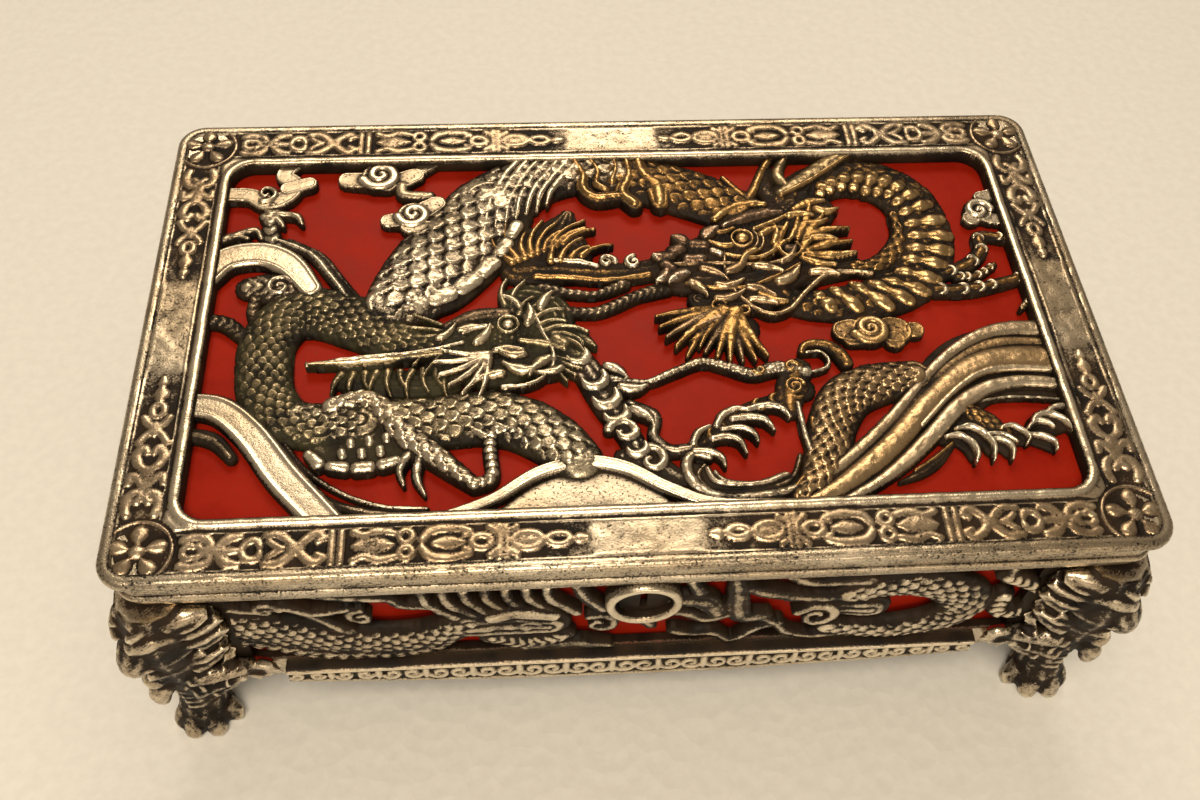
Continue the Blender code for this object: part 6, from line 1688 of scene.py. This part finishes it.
def make_posts_and_floor(silver):
    """The slab of the floor and the four corners of the wall."""
    half_x, half_y = WALL_HALF
    work = bmesh.new()
    bmesh.ops.create_cube(work, size=1)
    for vert in work.verts:
        vert.co = (vert.co.x * 2 * (half_x - 0.5), vert.co.y * 2 * (half_y - 0.5),
                   FLOOR_HEIGHT + 0.05 + (vert.co.z + 0.5) * (FLOOR_THICKNESS - 0.1))
    for side_x, side_y in CORNERS:
        add_post(work, side_x, side_y)
    bmesh.ops.scale(work, vec=(MM, MM, MM), verts=work.verts)
    mesh = bpy.data.meshes.new("box_posts_and_floor")
    work.to_mesh(mesh)
    work.free()
    layer = mesh.color_attributes.new("wear", "FLOAT_COLOR", "POINT")
    for item in layer.data:
        item.color = (0.35, 0.35, 0, 1)
    piece = link_object("box_posts_and_floor", mesh)
    finish_piece(piece, silver, "box_body")


def add_post(work, side_x, side_y):
    """One corner of the wall: an L in plan, between the windows."""
    half_x, half_y = WALL_HALF
    outline = [(0, 0), (POST_WIDTH, 0), (POST_WIDTH, WALL_THICKNESS), (WALL_THICKNESS, WALL_THICKNESS),
               (WALL_THICKNESS, POST_WIDTH), (0, POST_WIDTH)]
    loops = []
    for height in (WINDOW_BOTTOM - 0.1, WINDOW_TOP + 0.1):
        loops.append([work.verts.new((side_x * (half_x - x), side_y * (half_y - y), height))
                      for x, y in outline])
    count = len(outline)
    faces = [work.faces.new([loops[0][i], loops[0][(i + 1) % count], loops[1][(i + 1) % count], loops[1][i]])
             for i in range(count)]
    bmesh.ops.recalc_face_normals(work, faces=faces)


def make_lock(silver):
    """The lock's ring, turned about its axis. The disc with the key slot is the imported solid."""
    rings = [(LOCK_BORE, 0.2), (LOCK_BORE, 2.0), (LOCK_BORE + 0.2, 2.5), (LOCK_BORE + 0.7, 2.8),
             (LOCK_RADIUS - 0.6, 2.8), (LOCK_RADIUS - 0.15, 2.5), (LOCK_RADIUS, 2.0), (LOCK_RADIUS, -0.5)]
    sides = 72
    points = []
    for radius, out in rings:
        for step in range(sides):
            turn = 2 * math.pi * step / sides
            points.append((radius * math.cos(turn), -WALL_HALF[1] - out,
                           LOCK_HEIGHT + radius * math.sin(turn)))
    faces = []
    for row in range(len(rings) - 1):
        for step in range(sides):
            after = (step + 1) % sides
            faces.append((row * sides + step, row * sides + after,
                          (row + 1) * sides + after, (row + 1) * sides + step))
    wear = np.repeat([0.25, 0.4, 0.75, 0.9, 0.9, 0.75, 0.6, 0.2], sides)
    colour = np.stack([wear, wear, 0 * wear, 0 * wear], -1)
    tone = np.zeros((len(points), 4))
    piece = quad_mesh("lock_ring", np.array(points) * MM, np.array(faces), colour, tone)
    face_outwards(piece)
    finish_piece(piece, silver, "box_body")


# The feet


def foot_middle():
    """The head, leg and paw on the foot's diagonal, as (place, up, radius) tubes."""
    return [
        [(-1.2, 53, 5.6), (-0.5, 45, 6.2), (0, 38, 6.3), (-0.4, 31, 5.6), (-0.8, 24, 5.2),
         (-1, 16, 4.6), (-0.9, 10, 4.4), (-0.3, 5.5, 5), (-0.5, 2, 5.2), (-0.6, -1, 4.8)],
        [(1.8, 40.5, 4.4), (3.6, 37.4, 3.7), (4.8, 34, 2.6)],
        [(1.2, 29, 3.2), (3.4, 26.6, 2.5), (4.5, 25.6, 1.8)],
        [(2.4, 23, 2.6), (3.8, 20.6, 2.3), (4, 17, 1.3)],
    ]


def foot_side():
    """One side of the mask and leg, as (along, out, up, radius) tubes from the wall's corner."""
    lines = [
        [(0.6, -14.2, 23.6, 1.5), (0.6, -15, 23.6, 1.5)],
        [(4.8, 3, 43, 1.7), (5, 0.4, 44.8, 2), (3.8, -2.8, 45.2, 1.9), (2.6, -5.4, 43.4, 1.5)],
        [(4.2, 0, 40.6, 1.7), (3.9, -1.2, 40.6, 1.7)],
        [(4.9, 1.8, 37.8, 1.5), (4.4, -1.4, 37.2, 1.6), (3.2, -4.4, 38.4, 1.6), (2.2, -7, 41, 1.4)],
        [(5, 3.2, 31.8, 1.6), (4, 0.2, 31.4, 1.7), (3.2, -2.6, 31.8, 1.8), (2.6, -5.2, 33.8, 1.7),
         (2.2, -7.6, 35.6, 1.4)],
        [(2.6, -3.4, 48, 2.4), (2, -7, 49, 2), (1.2, -10.8, 48.6, 1.5)],
        [(2.2, -6.2, 43.6, 2.1), (1.6, -9.6, 44.8, 1.8), (1, -12.4, 46.6, 1.3)],
        [(2.2, -7, 38.6, 2), (1.6, -10.2, 40.6, 1.7), (1, -12.4, 42.6, 1.3)],
        [(2.6, -4.4, 29.4, 2), (1.8, -8, 32, 1.8), (1.2, -11, 35.6, 1.3)],
        [(2.6, -2.4, 25, 2.6), (2.2, -7, 25.2, 2.3), (1.3, -12.4, 25, 1.8)],
        [(2, -1.6, 19, 3.2), (1, -6, 19.2, 2.7), (0.4, -11.4, 20.6, 2)],
        [(2.6, -3.6, 20.8, 2), (2.5, -4.4, 20.8, 2)],
        [(2.1, -8, 20.8, 1.8), (2, -8.6, 20.8, 1.8)],
        [(0.6, -3.4, 14.6, 2.2), (0.2, -7, 15.4, 1.9), (-0.4, -9.8, 16.8, 1.4)],
        [(1.6, -4.6, 14.6, 1.7), (1.5, -5.2, 14.8, 1.7)],
        [(2.4, 1.2, 5.2, 2.4), (3.9, 1.8, 2.4, 2.2), (4.3, 2, 0.2, 2)],
        [(2.4, -1.6, 4.8, 2.3), (3.8, -2.4, 2.2, 2.1), (4.1, -2.6, 0.2, 1.9)],
        [(0.4, -4, 4.4, 2.2), (0.8, -5.4, 2, 2), (0.9, -5.7, 0.2, 1.8)],
    ]
    for step in range(5):
        share = step / 4
        lines.append([(0.2 - share, -3 - 8 * share, 48 - 25 * share, 3.0),
                      (-0.8, -11, 46.5 - 24 * share, 2.2)])
    return lines


def foot_details():
    """Finer locks, pupils, teeth, beads and claws that lie on the foot's larger forms."""
    lines = [
        [(4.9, -0.6, 40.9, 0.75), (4.95, -0.7, 40.8, 0.75)],
        [(6.2, 3.4, 35.4, 0.9), (6.0, 1.8, 36.4, 1.0), (5.4, 0.6, 35.4, 0.7)],
        [(5.0, 1.6, 29.9, 0.55), (5.0, 1.4, 28.4, 0.3)],
        [(4.4, -0.4, 29.9, 0.55), (4.5, -0.5, 28.2, 0.3)],
        [(3.7, -2.6, 30.4, 0.5), (3.8, -2.6, 28.8, 0.3)],
        [(5.2, 2.6, 46.6, 0.9), (5.0, 0.6, 48.0, 0.9), (4.2, -1.2, 49.8, 0.5)],
        [(4.4, 1.6, 49.0, 0.8), (3.8, 0.6, 50.4, 0.8), (3.2, -0.6, 51.6, 0.5)],
        [(4.1, -3.4, 42.6, 0.6), (3.4, -5.4, 41.2, 0.6), (3.0, -6.6, 39.6, 0.4)],
    ]
    for up, reach in ((47.6, -10), (45.2, -11), (41.6, -11), (34.6, -10)):
        lines.append([(3.8, -4.6, up - 1.6, 0.7), (3.4, 0.5 * reach - 3, up - 0.4, 0.8),
                      (2.4, reach - 1, up + 1.4, 0.4)])
    for step in range(5):
        out = -1.2 - 2.5 * step
        radius = 1.0 - 0.04 * step
        upper = 0.34 * step
        lower = 0.36 * step
        lines.append([(3.9 - upper, out, 26.9, radius), (3.95 - upper, out - 0.2, 26.7, radius)])
        lines.append([(3.9 - lower, out, 22.5, radius), (3.9 - lower, out - 0.2, 22.4, radius)])
    for step in range(4):
        turn = 0.5 * math.pi * step
        lines.append([(1.7, -14.6 + 3.4 * math.cos(turn), 23.6 + 3.4 * math.sin(turn), 0.8),
                      (1.75, -14.6 + 3.4 * math.cos(turn + 0.1), 23.6 + 3.4 * math.sin(turn + 0.1),
                       0.8)])
    for place, out in ((5.0, 2.6), (4.9, -3.2), (1.5, -6.9)):
        lines.append([(place - 0.6, out, 3.6, 0.8), (place + 0.2, out, 2.0, 0.7),
                      (place + 0.5, out, 0.6, 0.5)])
    for up in (18.2, 15.6, 13.0, 10.6):
        lines.append([(2.9 - 0.03 * (18 - up), 1.2, up, 0.8), (2.8, -1.4, up + 0.5, 0.8),
                      (1.6, -3.6, up + 1.4, 0.6)])
    return lines


def foot_strokes():
    """All the tubes of one foot."""
    volute = [(1.1, -14.6 + 2.1 * math.cos(turn), 23.6 + 2.1 * math.sin(turn), 1.4)
              for turn in (0.4 * math.pi * step for step in range(6))]
    strokes = [[(place, place, up, radius) for place, up, radius in line] for line in foot_middle()]
    for points in [volute, *foot_side(), *foot_details()]:
        strokes.append(points)
        strokes.append([(y, x, z, radius) for x, y, z, radius in points])
    return strokes


def evaluated_mesh(thing):
    """The mesh that an object's curve or modifier makes. The object itself goes."""
    bpy.context.view_layer.update()
    graph = bpy.context.evaluated_depsgraph_get()
    mesh = bpy.data.meshes.new_from_object(thing.evaluated_get(graph), depsgraph=graph)
    bpy.data.objects.remove(thing, do_unlink=True)
    return mesh


def tube(points, up):
    """A round tube along (x, y, z, radius) points, its heights scaled by up."""
    run = smooth_run(points)
    curve = bpy.data.curves.new("lock", "CURVE")
    curve.dimensions = "3D"
    curve.bevel_depth = 1
    curve.bevel_resolution = 3
    curve.use_fill_caps = True
    spline = curve.splines.new("POLY")
    spline.points.add(len(run) - 1)
    for point, (x, y, z, radius) in zip(spline.points, run):
        point.co = (x, y, z * up, 1)
        point.radius = radius
    return evaluated_mesh(link_object("lock", curve))


def make_foot_mesh():
    """One foot at the front right corner, its tubes melted into one form."""
    work = bmesh.new()
    for points in foot_strokes():
        work.from_mesh(tube(points, (NECK_BOTTOM - FOOT_GAP) / DRAWN_FOOT_HEIGHT))
    bmesh.ops.remove_doubles(work, verts=work.verts, dist=0.001)
    mesh = bpy.data.meshes.new("foot")
    work.to_mesh(mesh)
    work.free()
    foot = link_object("foot", mesh)
    remesh = foot.modifiers.new("melt", "REMESH")
    remesh.mode = "VOXEL"
    remesh.voxel_size = FOOT_VOXEL
    return evaluated_mesh(foot)


def smoothed(points, edges, rounds):
    """Each point moved to the mean of its neighbours, over and over."""
    count = np.bincount(edges.ravel(), minlength=len(points)).astype(float)
    for _ in range(rounds):
        total = np.zeros_like(points)
        for axis in range(3):
            total[:, axis] = (np.bincount(edges[:, 0], points[edges[:, 1], axis], len(points))
                              + np.bincount(edges[:, 1], points[edges[:, 0], axis], len(points)))
        points = total / np.maximum(count, 1)[:, None]
    return points


# The feet: their gap under the box, how brown they are, how uneven their skin is, the face that
# they keep to beside the walls, and where they are buried in the box
FOOT_GAP = 0.3
FOOT_TONE = 0.2
UNEVEN = 0.05
WALL_GAP = 0.25
BURIED = -0.8


def read_array(items, attribute, width, kind=float):
    """One attribute of all the points, edges or corners of a mesh, as rows."""
    values = np.empty(len(items) * width, kind)
    items.foreach_get(attribute, values)
    return values.reshape(-1, width)


def foot_wear(points, normals, edges):
    """The shares that the material reads: how far each spot stands out of a smoothed copy."""
    fine = np.einsum("ij,ij->i", normals, points - smoothed(points, edges, 6))
    broad = np.einsum("ij,ij->i", normals, points - smoothed(points, edges, 50))
    return np.stack([np.clip(0.42 + fine * 2.8, 0, 1), np.clip(0.36 + broad * 0.9, 0, 1),
                     0.7 + 0 * fine, 0 * fine], -1)


def make_feet(dark_silver):
    """One foot with an uneven cast skin, kept clear of the box and copied to the four corners."""
    melted = make_foot_mesh()
    edges = read_array(melted.edges, "vertices", 2, np.int32)
    points = smoothed(read_array(melted.vertices, "co", 3), edges, 1)
    normals = read_array(melted.vertices, "normal", 3)
    count = len(points)
    grains = np.random.RandomState(5).standard_normal((count, 3))
    uneven = smoothed(grains, edges, 3)[:, 0]
    points = points + normals * (UNEVEN * np.clip(uneven / uneven.std(), -2.5, 2.5))[:, None]
    colour = foot_wear(points, normals, edges)
    tone = np.zeros((count, 4))
    tone[:, 2] = FOOT_TONE
    faces = read_array(melted.loops, "vertex_index", 1, np.int32).reshape(-1, 4)
    under_floor = FLOOR_HEIGHT - FOOT_GAP
    high = points[:, 2] > under_floor
    box = (points[:, 0] < WALL_GAP) & (points[:, 1] < WALL_GAP) & high
    hidden = (points[:, 0] < BURIED) & (points[:, 1] < BURIED) & (points[:, 2] > under_floor + 1)
    points = np.where(box[:, None] & ~hidden[:, None], push_out(points, WALL_GAP, under_floor), points)
    points[:, 2] = np.clip(points[:, 2], 0, NECK_BOTTOM - FOOT_GAP)
    points[:, :2] = np.minimum(points[:, :2], FOOT_REACH - WALL_HALF[0])
    faces = faces[~hidden[faces].any(1)]
    for side_y, side_x in CORNERS:
        name = ("front_" if side_y < 0 else "back_") + ("left" if side_x < 0 else "right")
        place = points.copy()
        place[:, 0] = side_x * (WALL_HALF[0] + points[:, 0])
        place[:, 1] = side_y * (WALL_HALF[1] + points[:, 1])
        order = faces if side_x * side_y > 0 else faces[:, ::-1]
        piece = quad_mesh(f"mask_foot_{name}", place * MM, order, colour, tone)
        finish_piece(piece, dark_silver, f"foot_{name}")


def push_out(points, limit, under_floor):
    """Moves points that fall inside the box's envelope to its nearest outer face."""
    moved = points.copy()
    to_x = limit - points[:, 0]
    to_y = limit - points[:, 1]
    to_floor = points[:, 2] - under_floor
    nearest = np.argmin(np.stack([to_x, to_y, to_floor]), 0)
    moved[nearest == 0, 0] = limit
    moved[nearest == 1, 1] = limit
    moved[nearest == 2, 2] = under_floor
    return moved


# Stage, light and camera


def make_floor():
    """A pale board with a fine cell texture."""
    n = Nodes("foam_board")
    grain = n.noise(420, 4)
    place = n.add("ShaderNodeTexCoord", output=3)
    cells = n.add("ShaderNodeTexVoronoi", {"Vector": place, "Scale": 260.0})
    colour = n.mix(n.ramp(grain, 0.3, 0.7), (0.76, 0.765, 0.745, 1), (0.80, 0.81, 0.79, 1))
    n.set(n.shader.inputs["Base Color"], colour)
    n.set(n.shader.inputs["Roughness"], 0.5)
    n.set(n.shader.inputs["Normal"], n.bump(cells, 0.25, 0.0006))
    mesh = bpy.data.meshes.new("floor")
    reach = 3.0
    corners = [(-reach, -reach, 0), (reach, -reach, 0), (reach, reach, 0), (-reach, reach, 0)]
    mesh.from_pydata(corners, [], [(0, 1, 2, 3)])
    mesh.materials.append(n.material)
    link_object("floor", mesh)


def turn_to(thing, right, above, back, place):
    """Sets a lamp or camera by its own right, up and backward directions."""
    rows = [[right[i], above[i], back[i], place[i]] for i in range(3)]
    thing.matrix_world = Matrix(rows + [[0, 0, 0, 1]])


def area_light(name, place, aim, size, watts, colour):
    """A rectangular lamp at a place, turned to the spot that it aims at."""
    light = bpy.data.lights.new(name, "AREA")
    light.shape = "RECTANGLE"
    light.size, light.size_y = size
    light.energy = watts
    light.color = colour
    towards = np.array(aim) - np.array(place)
    towards = towards / np.linalg.norm(towards)
    side = np.cross(towards, (0, 0, 1))
    side = side / np.linalg.norm(side)
    turn_to(link_object(name, light), side, np.cross(side, towards), -towards, place)


def make_lights():
    """A dim warm room, a soft light behind the box that the lid's flat metal mirrors, a softer
    one over the camera that picks out the carving, and a low one on the front."""
    warm = (1.0, 0.84, 0.64)
    world = bpy.data.worlds.new("studio")
    bpy.context.scene.world = world
    world.use_nodes = True
    background = world.node_tree.nodes["Background"]
    background.inputs["Color"].default_value = (*warm, 1)
    background.inputs["Strength"].default_value = 0.3
    area_light("back_softbox", place=(0.02, 0.62, 0.80), aim=(0.0, 0.0, 0.05), size=(0.60, 0.30),
               watts=3.4, colour=warm)
    area_light("top_front", place=(-0.12, -0.42, 0.92), aim=(0, 0, 0.03), size=(0.40, 0.40),
               watts=6.3, colour=warm)
    area_light("front_fill", place=(0.1, -0.9, 0.35), aim=(0, 0, 0.03), size=(0.8, 0.3),
               watts=1.9, colour=warm)
    bpy.context.scene.view_settings.view_transform = "Standard"


def make_camera():
    """The photograph's camera, solved from the four corners of the lid."""
    camera = bpy.data.cameras.new("photo_camera")
    camera.sensor_width = 36
    camera.lens = 36.1
    camera.clip_start = 0.01
    thing = link_object("photo_camera", camera)
    right = (0.9974576, -0.06224286, 0.03470118)
    above = (0.03098074, 0.81727498, 0.57541447)
    back = (-0.06417584, -0.57287646, 0.81712546)
    turn_to(thing, right, above, back, (-0.02035, -0.14333, 0.23956))
    bpy.context.scene.camera = thing


def assign_carried_over(silver, red):
    """The CAD pieces that stay get the same finishes."""
    for name, material in (("lid_panel", red), ("box_lining", red), ("lock_plug", silver)):
        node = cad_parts[name]
        node.data.materials.clear()
        node.data.materials.append(material)


make_camera()
silver = aged_silver("worn_silver_looks", age=-0.01, shine=0.17, depth=0.84)
clean_silver = aged_silver("rubbed_silver_looks", age=-0.12, shine=0.14)
dark_silver = aged_silver("dark_silver_looks", age=0.11, shine=0.13)
wall_silver = aged_silver("wall_silver_looks", age=0.17, shine=0.15)
red = red_lacquer()
assign_carried_over(clean_silver, red)
make_openwork(silver)
make_border(silver)
make_lid_edge(clean_silver)
make_walls(wall_silver)
make_aprons(silver)
make_box_shell(clean_silver, wall_silver)
make_lock(clean_silver)
make_feet(dark_silver)
make_floor()
make_lights()
